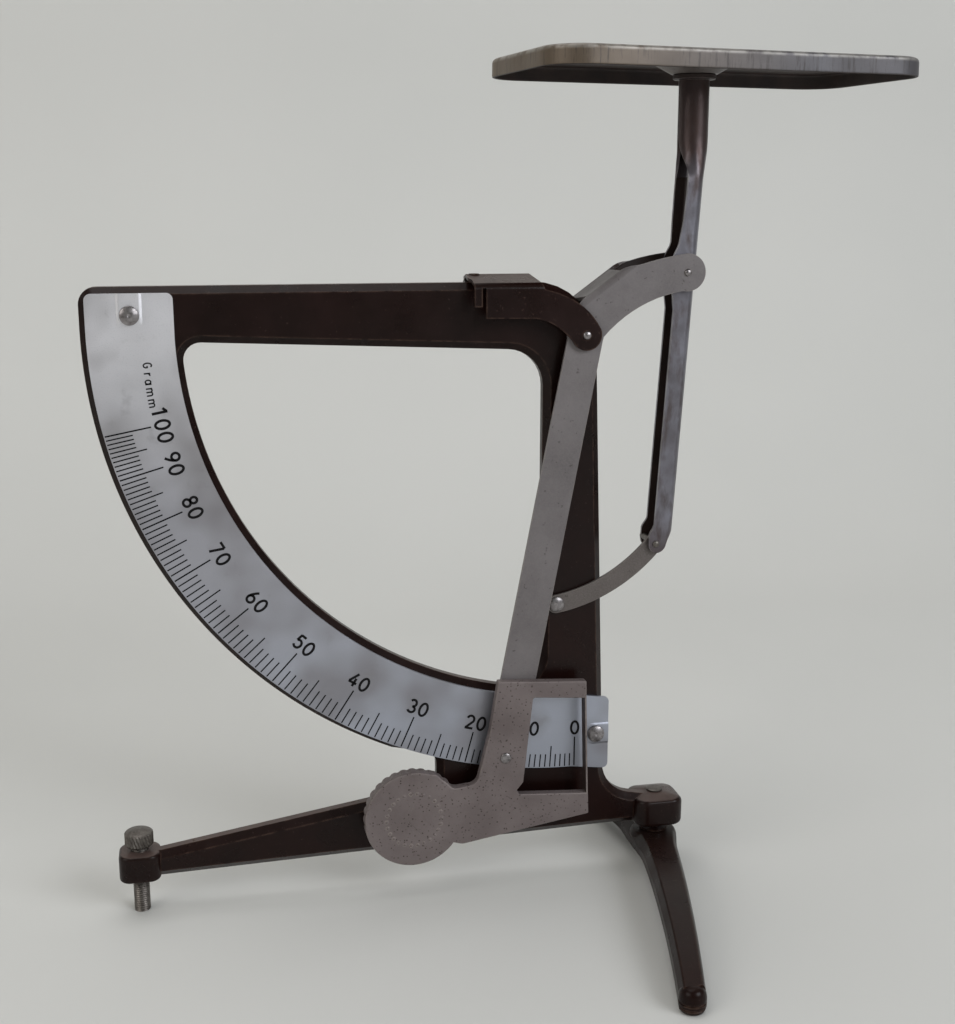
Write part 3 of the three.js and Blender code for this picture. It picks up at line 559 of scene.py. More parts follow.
def pan_paint():
    """Grey paint with a painted tint of light, brown on the left and bluish on the right; scratched upright, and
    lighter along the top, partly worn and partly a painted highlight.
    """
    shader = Shader("pan_paint", metallic=0.35)
    # Painted tint of light: brown towards the left under the warm light, bluish towards the right under the cool light.
    across = shader.ramp(shader.coordinate("X"), 0.1, 0.16)
    colour = shader.mix(across, linear(102, 88, 72), linear(84, 83, 88))
    colour = shader.mix(shader.ramp(shader.noise(26), 0.3, 0.7, 0, 0.4), colour, linear(74, 68, 66))
    streaks = shader.noise(0.9, 4, 0.7, vector=shader.stretched(1, 1, 0.08))
    colour = shader.mix(shader.ramp(streaks, 0.54, 0.66, 0, 0.7), colour, linear(52, 46, 44))
    # Along the rim's top the paint lightens in patches: partly wear, partly a painted highlight on the rounded edge.
    rim_wear_and_highlight = shader.ramp(shader.coordinate("Z"), (PAN_TOP - 1.3) * MM, (PAN_TOP - 0.7) * MM)
    patches = shader.maths("MULTIPLY", shader.ramp(shader.noise(3, 4), 0.36, 0.56),
                           shader.ramp(shader.facing_up(), 0.9, 0.99, 1, 0.2))
    colour = shader.mix(shader.maths("MULTIPLY", rim_wear_and_highlight, shader.maths("MULTIPLY", patches, 0.5)), colour,
                        linear(168, 164, 158))
    shader.bump(shader.noise(0.6, 3), 0.03, 0.5)
    return shader.paint(colour, shader.ramp(shader.noise(8), 0.3, 0.7, 0.35, 0.52))


def pan_underside():
    # Dark brown for faces that lie in shade: painted shade.
    shader = Shader("pan_underside", metallic=0.1)
    colour = shader.mix(shader.ramp(shader.noise(6), 0.3, 0.7), linear(34, 24, 22), linear(52, 38, 34))
    shader.bump(shader.noise(0.6, 3), 0.03, 0.5)
    return shader.paint(colour, 0.55)


def dial_aluminium():
    shader = Shader("dial_aluminium", metallic=0.85)
    # Painted reflection: the plate is bluish low down, greyer in the middle and bright near the top.
    painted_reflection = shader.mix(shader.ramp(shader.coordinate("Z"), 0.045, 0.09), linear(176, 180, 192), linear(176, 176, 184))
    painted_reflection = shader.mix(shader.ramp(shader.coordinate("Z"), 0.1, 0.14), painted_reflection, linear(232, 231, 236))
    # Broad dark patches of painted reflection.
    colour = shader.mix(shader.ramp(shader.noise(20, 2), 0.42, 0.66, 0, 0.55), painted_reflection, linear(122, 116, 116))
    grain = shader.noise(0.28, 3)
    colour = shader.mix(shader.ramp(grain, 0.55, 0.8, 0, 0.3), colour, linear(146, 150, 160))
    stains = shader.ramp(shader.noise(5, 4), 0.62, 0.74, 0, 0.25)
    colour = shader.mix(stains, colour, linear(140, 138, 140))
    shader.bump(shader.noise(0.22, 2), 0.012, 0.5)
    return shader.paint(colour, shader.ramp(shader.noise(9), 0.3, 0.7, 0.36, 0.48))


def dial_ink():
    shader = Shader("dial_ink")
    colour = shader.mix(shader.noise(1.5), linear(14, 13, 14), linear(24, 22, 24))
    shader.bump(shader.noise(0.3, 2), 0.01, 0.4)
    shader.surface.inputs["Specular IOR Level"].default_value = 0.15
    return shader.paint(colour, shader.ramp(shader.noise(2), 0.3, 0.7, 0.45, 0.6))


def steel(name, bright, dark, low, high):
    shader = Shader(name, metallic=0.9)
    colour = shader.mix(shader.ramp(shader.noise(1.2), 0.3, 0.7), linear(*bright), linear(*dark))
    dirt = shader.ramp(shader.noise(0.6, 3), 0.6, 0.72, 0, 0.5)
    colour = shader.mix(dirt, colour, linear(60, 54, 50))
    shader.bump(shader.noise(0.25, 3), 0.02, 0.5)
    return shader.paint(colour, shader.ramp(shader.noise(0.9), 0.3, 0.7, low, high))


# The frame's enamel gets a painted sheen of 0.4 on faces that look up; the foot's copy gets almost none.
ENAMEL = brown_enamel("brown_enamel", 0.4, 0.2)
FOOT_ENAMEL = brown_enamel("foot_enamel", 0.04, 0.14)
LEVER_PAINT = lever_paint("grey_lever_paint", (118, 113, 114), (100, 95, 96))
LINK_PAINT = lever_paint("brown_lever_paint", (98, 91, 88), (80, 73, 70))
STEM_METAL = stem_metal()
CASTING = speckled_casting()
PAN_PAINT = pan_paint()
PAINTED_SHADE_BROWN = pan_underside()
ALUMINIUM = dial_aluminium()
INK = dial_ink()
BRIGHT_STEEL = steel("bright_steel", (158, 154, 155), (116, 111, 111), 0.24, 0.4)
DULL_STEEL = steel("dull_steel", (120, 115, 110), (88, 82, 78), 0.36, 0.52)


# ------------------------------------------------------------------ quadrant frame

def leg_top(x):
    return 15.2 + (x + 108) * 0.157


def frame_outline():
    left = ARC_X - RIM_OUT
    rim = [(x, z, 0) for x, z in arc(ARC_X, ARC_Z, RIM_OUT, -113.5, -180, 56)]
    return soft_polygon([
        (left, BAR_TOP, 4), (3.7, BAR_TOP, 16), (8, 21.3, 9), (BOSS_X - 3, 19.2, 0), (BOSS_X, 19.2, 0),
        (BOSS_X, 11.9, 0), (8, 11.9, 0), (-108, 9, 0), (-108, leg_top(-108), 0),
        (-36, leg_top(-36), 3.5), (-36, 35.2, 3.5),
    ] + rim)


def frame_window():
    rim = [(x, z, 0) for x, z in arc(ARC_X, ARC_Z, RIM_IN, -101, -174.6, 48)]
    return soft_polygon([(-94.4, 139.9, 4), (-9.2, 136.3, 9), (-9.2, 50.8, 8)] + rim)


def quadrant_frame():
    mesh = slab([frame_outline(), frame_window()], -FRAME_HALF, FRAME_HALF, FRAME_EDGE, rounding=0)
    mesh = with_modifier(mesh, "BEVEL", width=0.3, segments=2, limit_method="ANGLE", angle_limit=math.radians(35))
    left_boss = rounded_block(SCREW_X, 10, 9.8, 2.8, 8.9, 15.7, 0.9, crown=0.3)
    right_boss = rounded_block(BOSS_X, 13, 12.4, 3.4, 11.5, 18.7, 1.2, crown=0.9)
    mesh = boolean(mesh, left_boss, "UNION")
    mesh = boolean(mesh, right_boss, "UNION")
    bore = turned([(0, 0), (2.15, 0), (2.15, 20), (0, 20)], SCREW_X, 0, "Z")
    mesh = boolean(mesh, bore, "DIFFERENCE")
    finish_piece("frame_casting", mesh, ENAMEL, "frame", ["quadrant_frame"])


# ------------------------------------------------------------------ dial plate

PLATE_RIVETS = ((-105.6, 146.3), (5.0, 38.1))
CREASE_HALF = 2.4
CREASE_RISE = 0.3


def plate_outline():
    left = ARC_X - PLATE_OUT
    right = ARC_X - PLATE_IN
    top = BAR_TOP - 1.4
    inner = [(x, z, 0) for x, z in arc(ARC_X, ARC_Z, PLATE_IN, 180, 270, 60)]
    outer = [(x, z, 0) for x, z in arc(ARC_X, ARC_Z, PLATE_OUT, 270, 180, 60)]
    return soft_polygon([(left, top, 1.5), (right, top, 1.5)] + inner[1:]
                        + [(8.4, 47.6, 1.3), (8.4, 28.4, 1.3)] + outer)


def crease(distance, reach):
    """Height of the pressed strip that runs from a rivet to the plate's end; reach is how far past the rivet."""
    side = 1 - smooth_step(abs(distance), CREASE_HALF - 0.5, CREASE_HALF + 0.5)
    return CREASE_RISE * side * smooth_step(reach, -2.6, -0.2)


def dial_plate():
    (upper_x, upper_z), (lower_x, lower_z) = PLATE_RIVETS
    mesh = filled([plate_outline()])
    bm = bmesh.new()
    bm.from_mesh(mesh)
    steps = (-2.9, -2.6, -2.3, -2.0, 2.0, 2.3, 2.6, 2.9)
    start_steps = (-2.6, -1.8, -1.0, -0.2)
    cuts = [((upper_x + s, 0, 0), (1, 0, 0)) for s in steps]
    cuts += [((0, 0, lower_z + s), (0, 0, 1)) for s in steps]
    cuts += [((0, 0, upper_z + s), (0, 0, 1)) for s in start_steps]
    cuts += [((lower_x + s, 0, 0), (1, 0, 0)) for s in start_steps]
    for point, normal in cuts:
        bmesh.ops.bisect_plane(bm, geom=bm.verts[:] + bm.edges[:] + bm.faces[:], plane_co=point, plane_no=normal)
    for vertex in bm.verts:
        x, _, z = vertex.co
        lift = crease(x - upper_x, z - upper_z) + crease(z - lower_z, x - lower_x)
        vertex.co.y = -PLATE_FRONT + SHEET / 2 - lift
    bmesh.ops.recalc_face_normals(bm, faces=bm.faces)
    bm.to_mesh(mesh)
    bm.free()
    mesh = with_modifier(mesh, "SOLIDIFY", thickness=SHEET, offset=0)
    mesh = with_modifier(mesh, "BEVEL", width=0.12, segments=2, limit_method="ANGLE", angle_limit=math.radians(60))
    finish_piece("dial_plate", mesh, ALUMINIUM, "frame", ["scale_plate"])


def dial_rivets():
    names = (("dial_rivet_upper", "scale_plate_rivet_upper"), ("dial_rivet_lower", "scale_plate_rivet_lower"))
    face = -PLATE_FRONT - CREASE_RISE
    for (x, z), (name, node) in zip(PLATE_RIVETS, names):
        head = dome(2.2, face - 0.25, -0.75, 6)
        dimple = [(0.55, face - 0.96), (0.35, face - 0.86), (0, face - 0.82)]
        profile = list(reversed(head[:-2] + dimple))
        profile += [(2.2, face - 0.05), (1.1, face), (1.1, FRAME_HALF + 0.05), (1.8, FRAME_HALF + 0.06)]
        profile += dome(1.8, FRAME_HALF + 0.2, 0.6, 4)
        finish_piece(name, turned(profile, x, z), BRIGHT_STEEL, "frame", [node])


# ------------------------------------------------------------------ printed scale

SCALE_START = 0.3
SCALE_TILT = math.radians(34.8)
SCALE_LOAD = 73.0
INK_THICKNESS = 0.04


def scale_angle(grams):
    """Angle of a mark, clockwise from straight down, in radians: a pendulum balance's law."""
    across = grams * math.cos(SCALE_TILT)
    down = SCALE_LOAD - grams * math.sin(SCALE_TILT)
    return math.radians(SCALE_START) + math.atan2(across, down)


def on_dial(angle, radius):
    return -radius * math.sin(angle), PIVOT_Z - radius * math.cos(angle)


def reach_to_rim(angle):
    """Distance from the pivot to just inside the plate's outer edge along a mark."""
    along = Vector((-math.sin(angle), -math.cos(angle)))
    offset = Vector((-ARC_X, PIVOT_Z - ARC_Z))
    middle = offset.dot(along)
    edge = PLATE_OUT - 0.25
    return -middle + math.sqrt(middle ** 2 - offset.length_squared + edge ** 2)


def scale_marks():
    marks = []
    for grams in range(101):
        angle = scale_angle(grams)
        inner = 107.0 if grams % 5 else 104.8 if grams % 10 else 102.6
        inner += 0.9 * angle
        outer = reach_to_rim(angle)
        width = 0.3 if grams % 10 else 0.34
        x0, z0 = on_dial(angle, inner)
        x1, z1 = on_dial(angle, outer)
        side = Vector((z1 - z0, x0 - x1)).normalized() * width / 2
        marks.append(filled([[
            (x0 - side.x, z0 - side.y), (x1 - side.x, z1 - side.y), (x1 + side.x, z1 + side.y), (x0 + side.x, z0 + side.y),
        ]], INK_THICKNESS))
    return marks


def glyph_strokes():
    """The centre lines of each digit or letter in a box 0.6 wide and 1 high; True marks a closed stroke."""
    def bow(cx, cz, rx, rz, start, end, steps=14):
        return [(cx + rx * (x - cx), cz + rz * (z - cz)) for x, z in arc(cx, cz, 1, start, end, steps)]

    return {
        "0": [(bow(0.3, 0.5, 0.25, 0.43, 0, 360, 28)[:-1], True)],
        "1": [([(0.1, 0.72), (0.34, 0.93)], False), ([(0.34, 0.97), (0.34, 0.03)], False)],
        "2": [(bow(0.3, 0.68, 0.23, 0.25, 165, -38) + [(0.07, 0.07)], False), ([(0.03, 0.07), (0.57, 0.07)], False)],
        "3": [(bow(0.29, 0.7, 0.21, 0.23, 150, -90), False), (bow(0.29, 0.28, 0.24, 0.21, 90, -155), False)],
        "4": [([(0.44, 0.95), (0.07, 0.3)], False), ([(0.03, 0.27), (0.6, 0.27)], False),
              ([(0.42, 0.6), (0.42, 0.03)], False)],
        "5": [([(0.52, 0.93), (0.14, 0.93)], False), ([(0.16, 0.95), (0.11, 0.52)], False),
              (bow(0.29, 0.34, 0.24, 0.27, 135, -150), False)],
        "6": [(bow(0.3, 0.31, 0.23, 0.24, 0, 360, 24)[:-1], True), (bezier((0.08, 0.36), (0.14, 0.66), (0.4, 0.95)), False)],
        "7": [([(0.06, 0.93), (0.55, 0.93)], False), ([(0.53, 0.9), (0.2, 0.03)], False)],
        "8": [(bow(0.3, 0.72, 0.19, 0.21, 0, 360, 24)[:-1], True), (bow(0.3, 0.28, 0.23, 0.22, 0, 360, 24)[:-1], True)],
        "9": [(bow(0.3, 0.69, 0.23, 0.24, 0, 360, 24)[:-1], True), (bezier((0.52, 0.64), (0.46, 0.34), (0.2, 0.05)), False)],
        "G": [(bow(0.3, 0.5, 0.26, 0.43, 48, 345, 20), False), ([(0.58, 0.46), (0.34, 0.46)], False)],
        "r": [([(0.14, 0.7), (0.14, 0.03)], False), (bow(0.36, 0.42, 0.21, 0.22, 175, 75), False)],
        "a": [(bow(0.26, 0.36, 0.21, 0.29, 0, 360, 24)[:-1], True), ([(0.5, 0.7), (0.5, 0.03)], False)],
        "m": [([(-0.08, 0.7), (-0.08, 0.03)], False),
              (bow(0.11, 0.46, 0.19, 0.19, 170, 0) + [(0.3, 0.03)], False),
              (bow(0.49, 0.46, 0.19, 0.19, 170, 0) + [(0.68, 0.03)], False)],
    }


def stroke(points, closed, width):
    """A line of constant width along points, as printed ink."""
    sides = []
    count = len(points)
    for i, point in enumerate(points):
        before = points[i - 1] if closed or i else point
        after = points[(i + 1) % count] if closed or i + 1 < count else point
        along = (Vector(after) - Vector(before)).normalized()
        across = Vector((-along.y, along.x)) * width / 2
        sides.append((Vector(point) + across, Vector(point) - across))
    left = [tuple(side[0]) for side in sides]
    right = [tuple(side[1]) for side in sides]
    outlines = [left, right] if closed else [left + right[::-1]]
    return filled(outlines, INK_THICKNESS)


def on_plate(mesh, x, z, angle):
    """Moves print drawn round the origin in X and Z to a point of the dial, turned to dial angle."""
    mesh.transform(Matrix.Translation((x, 0, z)) @ Matrix.Rotation(angle, 4, "Y"))
    return mesh


def printed(text, height, x, z, angle, weight):
    """Printed characters centred on a point, tops towards the pivot; weight is the stroke's share of the height."""
    advance = 0.78
    left = -(advance * (len(text) - 1) + 0.6) / 2
    meshes = []
    for index, character in enumerate(text):
        for points, closed in glyph_strokes()[character]:
            placed = [((px + left + advance * index) * height, (pz - 0.5) * height) for px, pz in points]
            meshes.append(on_plate(stroke(placed, closed, weight * height), x, z, angle))
    return meshes


def dial_print():
    meshes = scale_marks()
    for grams in range(0, 101, 10):
        angle = scale_angle(grams)
        x, z = on_dial(angle, 100.1 + 0.8 * angle)
        meshes += printed(str(grams), 3.8, x, z, angle, 0.16)
    degrees = 87.1
    for letter, step in zip("Gramm", (0, 1.2, 0.95, 1.25, 1.45)):
        degrees -= step
        x, z = on_dial(math.radians(degrees), 102.3)
        meshes += printed(letter, 2.1, x, z, math.radians(degrees), 0.15)
    mesh = welded(joined(*meshes))
    mesh.transform(Matrix.Translation((0, -PLATE_FRONT - INK_THICKNESS / 2, 0)))
    finish_piece("dial_print", mesh, INK, "frame")


# ------------------------------------------------------------------ bearing bracket and main pin

def arch_path(half, crest, slope, bend, steps=6):
    """(length, y, z) along half a saddle: a roof that falls by slope degrees, then a bend of radius bend to upright."""
    fall = math.radians(slope)
    bend_y = half - bend
    path = [(0.0, 0.0, crest)]
    reach = bend_y + bend * math.sin(fall)
    corner = (-reach, crest - reach * math.tan(fall))
    points = [(-reach * share, crest - reach * share * math.tan(fall)) for share in (0.33, 0.66)] + [corner]
    centre_z = corner[1] - bend * math.cos(fall)
    for i in range(1, steps + 1):
        a = fall + (math.pi / 2 - fall) * i / steps
        points.append((-(bend_y + bend * math.sin(a)), centre_z + bend * math.cos(a)))
    for y, z in points:
        length = path[-1][0] + math.hypot(y - path[-1][1], z - path[-1][2])
        path.append((length, y, z))
    return path


def along_arch(path, v):
    """(y, z) at distance v from the crest; negative distances run down the far side."""
    distance = abs(v)
    side = 1 if v >= 0 else -1
    if distance >= path[-1][0]:
        return path[-1][1] * side, path[-1][2] - (distance - path[-1][0])
    for (l0, y0, z0), (l1, y1, z1) in zip(path, path[1:]):
        if distance <= l1:
            share = (distance - l0) / (l1 - l0)
            return (y0 + (y1 - y0) * share) * side, z0 + (z1 - z0) * share
    return path[-1][1] * side, path[-1][2]


def bearing_bracket():
    crest = 154.1
    path = arch_path(BRACKET_HALF - SHEET / 2, crest, 16, 1.3)
    arch, _, shoulder = path[-1]

    def down(z):
        return arch + shoulder - z

    eye = arc(0, PIVOT_Z, 3.7, 205, 382, 18)
    cheek = [(-24.5, 144.5), (-12.5, 144.3)] + bezier((-12.5, 144.3), (-7.4, 143.6), eye[0])[1:-1] + eye
    cheek += bezier(eye[-1], (-0.5, 149), (-10.4, shoulder))[1:]
    near = [(x, down(z)) for x, z in cheek]
    right = near + [(-11.2, arch - 1.8), (-12.6, 0)]
    tab = down(147.2)
    tongue = [(x, v, 0) for x, v in ((-28, 0), (-28, 2.6), (-27.3, 4), (-27.3, tab), (-25.4, tab), (-25.4, arch - 0.3),
                                     (-24.5, arch - 0.3))]
    right = [(x, v) for x, v, _ in tongue] + right
    mirrored = [(x, -v) for x, v in reversed(right[1:-1])]
    holes = [circle(0, down(PIVOT_Z), 1.0), circle(0, -down(PIVOT_Z), 1.0), circle(-26, 0, 0.9)]
    cuts = [side * length for length, _, _ in path for side in (-1, 1)]
    mesh = bent_sheet([right + mirrored] + holes, cuts, lambda u, v: (u, *along_arch(path, v)))
    finish_piece("bearing_bracket_saddle", mesh, ENAMEL, "frame", ["bearing_bracket"])


def pin(name, node, x, z, radius, half, body, material):
    """A plain pin across the frame with softly domed ends."""
    rise = 0.35
    profile = list(reversed(dome(radius, -half, -rise))) + dome(radius, half, rise)
    finish_piece(name, turned(profile, x, z, steps=28), material, body, [node])


def bracket_rivet():
    profile = [(0, 147.6), (0.85, 147.6), (0.85, 154.2), (1.35, 154.2), (1.4, 154.4), (1.2, 154.6), (0.95, 154.55),
               (0.7, 154.2), (0.6, 153.4), (0.6, 151.5), (0, 151.5)]
    mesh = turned(profile, -26, 0, "Z")
    finish_piece("bracket_hollow_rivet", mesh, ENAMEL, "frame", ["bracket_rivet"])


# ------------------------------------------------------------------ beam

BRIDGE_LEFT = Vector((-0.4, 148.1))
BRIDGE_RIGHT = Vector((8.8, 154.8))
FOLD_RADIUS = 1.4


def pendulum_arm():
    """Corner points of the arm, from the pivot's right side round its lower end to the left side."""
    along = (Vector(INDEX_RIVET) - Vector((0, PIVOT_Z))).normalized()
    across = Vector((-along.y, along.x))
    rivet = Vector(INDEX_RIVET)
    half = 4.45
    end = 3.3
    return [rivet + along * -18 + across * half, rivet + along * -15 + across * end, rivet + along * 4 + across * end,
            rivet + along * 4 - across * end, rivet + along * -15 - across * end, rivet + along * -18 - across * half]


def beam():
    half = BEAM_HALF - SHEET / 2
    fold = (BRIDGE_RIGHT - BRIDGE_LEFT).normalized()
    fold_length = (BRIDGE_RIGHT - BRIDGE_LEFT).length
    inward = Vector((fold.y, -fold.x))
    flat = half - FOLD_RADIUS
    bend = FOLD_RADIUS * math.pi / 2

    def unfolded(x, z):
        offset = Vector((x, z)) - BRIDGE_LEFT
        drop = max(0.0, offset.dot(inward))
        v = flat + (drop * math.pi / 2 if drop < FOLD_RADIUS else bend + drop - FOLD_RADIUS)
        return offset.dot(fold), v

    def folded(s, v):
        side = -1 if v >= 0 else 1
        distance = abs(v)
        if distance <= flat:
            y, drop = distance, 0.0
        elif distance <= flat + bend:
            a = (distance - flat) / FOLD_RADIUS
            y, drop = flat + FOLD_RADIUS * math.sin(a), FOLD_RADIUS * (1 - math.cos(a))
        else:
            y, drop = half, distance - flat - bend + FOLD_RADIUS
        point = BRIDGE_LEFT + fold * s + inward * drop
        return point.x, side * y, point.y

    eye = 4.5
    pan_eye = arc(PAN_PIN_X, PAN_PIN_Z, eye, 98, -104, 22)
    near_top = bezier(tuple(BRIDGE_RIGHT), (15.2, 157.6), pan_eye[0])[1:-1] + pan_eye
    far_top = bezier(tuple(BRIDGE_RIGHT), (15.2, 158.1), pan_eye[0])[1:-1] + pan_eye
    under = bezier(pan_eye[-1], (12.5, 148.4), (4.4, 139.6))[1:-1]
    right_of_pivot = arc(0, PIVOT_Z, eye, -8, -20, 2)
    left_of_pivot = arc(0, PIVOT_Z, eye, 190, 150, 5)
    near_left = BRIDGE_LEFT + fold * 1.2
    far_left = BRIDGE_LEFT - fold * 0.7
    near_end = bezier(left_of_pivot[-1], (-2.4, 145.9), tuple(near_left))[1:-1]
    far_end = bezier(left_of_pivot[-1], (-3.2, 146.4), tuple(far_left))[1:-1]
    arm = [tuple(point) for point in pendulum_arm()]
    bottom = arc(0, PIVOT_Z, eye, -20, -170, 14)[1:]

    near_side = [unfolded(x, z) for x, z in near_top + under + right_of_pivot + arm + left_of_pivot + near_end]
    far_side = [unfolded(x, z) for x, z in far_top + under + right_of_pivot + bottom + left_of_pivot + far_end]
    outline = [(fold_length, flat)] + near_side + [(1.2, flat), (-0.7, -flat)]
    outline += [(s, -v) for s, v in reversed(far_side)] + [(fold_length, -flat)]
    cuts = [side * (flat + bend * i / 7) for i in range(8) for side in (-1, 1)]
    holes = []
    for x, z, radius in ((0, PIVOT_Z, 1.1), (PAN_PIN_X, PAN_PIN_Z, 0.9)):
        for side in (-1, 1):
            holes.append([(s, side * v) for s, v in (unfolded(*point) for point in circle(x, z, radius, 20))])
    mesh = bent_sheet([outline] + holes, cuts, folded)

    # Faces between the cheeks and under the bridge get the dark brown of painted shade.
    def is_inside(polygon):
        between_cheeks = polygon.center.y * polygon.normal.y < 0 and abs(polygon.normal.y) > 0.7
        return polygon.center.z > PIVOT_Z and (between_cheeks or polygon.normal.dot((inward.x, 0, inward.y)) > 0.8)

    finish_piece("beam_and_arm", mesh, LEVER_PAINT, "beam", ["beam"],
                 second=PAINTED_SHADE_BROWN, takes_second=is_inside)


# ------------------------------------------------------------------ index weight

BLADE_THICKNESS = 0.45
BLADE_DEPTH = 3.2


def index_outline():
    """The casting is a C, open on the right, where the reading blade closes it."""
    return soft_polygon([
        (-21.6, 55.5, 0.4), (1.0, 54.1, 0.4), (1.1, 49.6, 0.4), (-12.7, 50.7, 0.6), (-15.1, 28.5, 0.6), (-16.8, 26.4, 0.4),
        (-16.1, 25.3, 0.4), (1.9, 24.1, 0.4), (2.1, 18.5, 0.4), (-30.8, 13.2, 3), (-40.6, 16, 2), (-45, 21, 2),
        (-38.4, 33.6, 1.5), (-33.2, 28.1, 3.2), (-27, 29.1, 2.6), (-23.6, 42.9, 0),
    ])


def reading_blade():
    """The thin edge that is read against the scale. It reaches back towards the dial."""
    near = -INDEX_FRONT + 0.05
    corners = [(1.0 - BLADE_THICKNESS, 52), (1.0, 52), (1.9, 22), (1.9 - BLADE_THICKNESS, 22)]
    return slab([corners], near, near + BLADE_DEPTH, 0.1)


def thick_neck():
    """The part that joins the disc to the thinner body, as deep as the disc."""
    outline = soft_polygon([
        (-28.6, 13.8, 0.5), (-28.6, 28.2, 0.5), (-33, 27.8, 3), (-38.4, 33.2, 1.5), (-44.7, 21, 2), (-40.6, 16.3, 2),
        (-31, 13.5, 1),
    ])
    return slab([outline], -INDEX_FRONT + 0.4, -DISC_BACK + 0.1, 0.3)


def scallops(angle, radius, height):
    """Finger notches round the disc's rim that fade out towards the front face."""
    if radius < DISC_RADIUS - 0.9:
        return radius
    depth = 0.32 * smooth_step(height, -INDEX_FRONT + 0.3, -INDEX_FRONT + 2.2)
    return radius - depth * (0.5 - 0.5 * math.cos(32 * angle)) ** 2


def disc_pips():
    """A plain ring of raised pips on the disc's face."""
    meshes = []
    count = 26
    for i in range(count):
        angle = 2 * math.pi * i / count
        x = DISC[0] + 6.9 * math.cos(angle)
        z = DISC[1] + 6.9 * math.sin(angle)
        profile = list(reversed(dome(0.4, -INDEX_FRONT, -0.2, 3))) + [(0.4, -INDEX_FRONT + 0.3), (0, -INDEX_FRONT + 0.3)]
        meshes.append(turned(profile, x, z, steps=10))
    return meshes


def index_weight():
    plate = slab([index_outline()], -INDEX_FRONT, -INDEX_BACK, 0.3)
    front = -INDEX_FRONT + 0.02
    rim = DISC_RADIUS
    profile = [(0, front + 0.08), (5.2, front + 0.08), (5.5, front), (rim - 0.6, front), (rim - 0.2, front + 0.14),
               (rim, front + 0.5), (rim, front + 1.0), (rim, front + 1.5), (rim, front + 2.2), (rim, -DISC_BACK - 0.5),
               (rim - 0.15, -DISC_BACK - 0.15), (rim - 0.5, -DISC_BACK), (0, -DISC_BACK)]
    disc = turned(profile, DISC[0], DISC[1], steps=256, ripple=scallops)
    mesh = boolean(plate, thick_neck(), "UNION")
    mesh = boolean(mesh, disc, "UNION")
    mesh = boolean(mesh, reading_blade(), "UNION")
    mesh = joined(mesh, *disc_pips())

    # The blade's left face gets the dark brown of painted shade.
    def is_blade_side(polygon):
        return polygon.center.x > 0.2 and 25 < polygon.center.z < 49.5 and polygon.normal.x < -0.7

    finish_piece("index_casting", mesh, CASTING, "beam", ["index_weight"],
                 second=PAINTED_SHADE_BROWN, takes_second=is_blade_side)


def index_rivet():
    front = -INDEX_FRONT - 0.05
    back = -BEAM_HALF + SHEET + 0.05
    head = dome(1.35, front - 0.1, -0.4, 6)
    profile = list(reversed(head)) + [(1.35, front), (0.9, front), (0.9, back), (1.3, back)] + dome(1.3, back + 0.1, 0.3, 4)
    finish_piece("index_rivet", turned(profile, *INDEX_RIVET), BRIGHT_STEEL, "beam",
                 ["index_weight_rivet"])


# ------------------------------------------------------------------ pan stem and guide link

STEM_LEAN = 0.062
STEM_BACK_X = 28.0
TUBE_X = 27.5
TUBE_RADIUS = 3.25
TUBE_BOTTOM = 184.0
STEM_END_RADIUS = 2.15
FLANGE_BOTTOM = node_span("pan_flange", 2)[0]


def bump_at(z, centre, reach):
    """1 near centre, fading to 0 at reach."""
    return 1 - smooth_step(abs(z - centre), reach * 0.45, reach)


def stem_section(z, steps=40):
    """Outer points of the rolled sheet at height z: a round-backed channel that closes to a tube at the top."""
    closing = smooth_step(z, 176, 186)
    back = STEM_BACK_X + (z - PAN_PIN_Z) * STEM_LEAN
    half = STEM_HALF - SHEET / 2
    lobes = max(bump_at(z, PAN_PIN_Z, 7), bump_at(z, LINK_PIN_Z, 5) * 0.9)
    near_reach = 5.2 + 1.2 * lobes - 0.9 * smooth_step(z, 160, 170)
    far_reach = 4.0 + 1.4 * lobes + 0.2 * smooth_step(z, 160, 170)
    low_end = smooth_step(z, LINK_PIN_Z - 2.6, LINK_PIN_Z + 3.5)
    points = []
    for i in range(steps + 1):
        t = -1 + 2 * i / steps
        reach = near_reach if t < 0 else far_reach
        around = abs(t) / 0.55
        if around < 1:
            a = around * math.pi / 2
            channel = (back - 2.0 * (1 - math.cos(a)), math.copysign(half * math.sin(a) ** 0.75, t))
        else:
            channel = (back - 2.0 - (reach - 2.0) * (around - 1) / (1 / 0.55 - 1), math.copysign(half, t))
        angle = t * math.pi * 0.985
        tube = (TUBE_X + TUBE_RADIUS * math.cos(angle), TUBE_RADIUS * math.sin(angle))
        x = channel[0] + (tube[0] - channel[0]) * closing
        y = channel[1] + (tube[1] - channel[1]) * closing
        if low_end < 1 and around < 1:
            x -= (1 - low_end) * (1 - around ** 2) * 2.4
        if z < LINK_PIN_Z:
            x = LINK_PIN_X + (x - LINK_PIN_X) * math.sqrt(1 - ((LINK_PIN_Z - z) / STEM_END_RADIUS) ** 2)
        points.append((x, y, z))
    return points


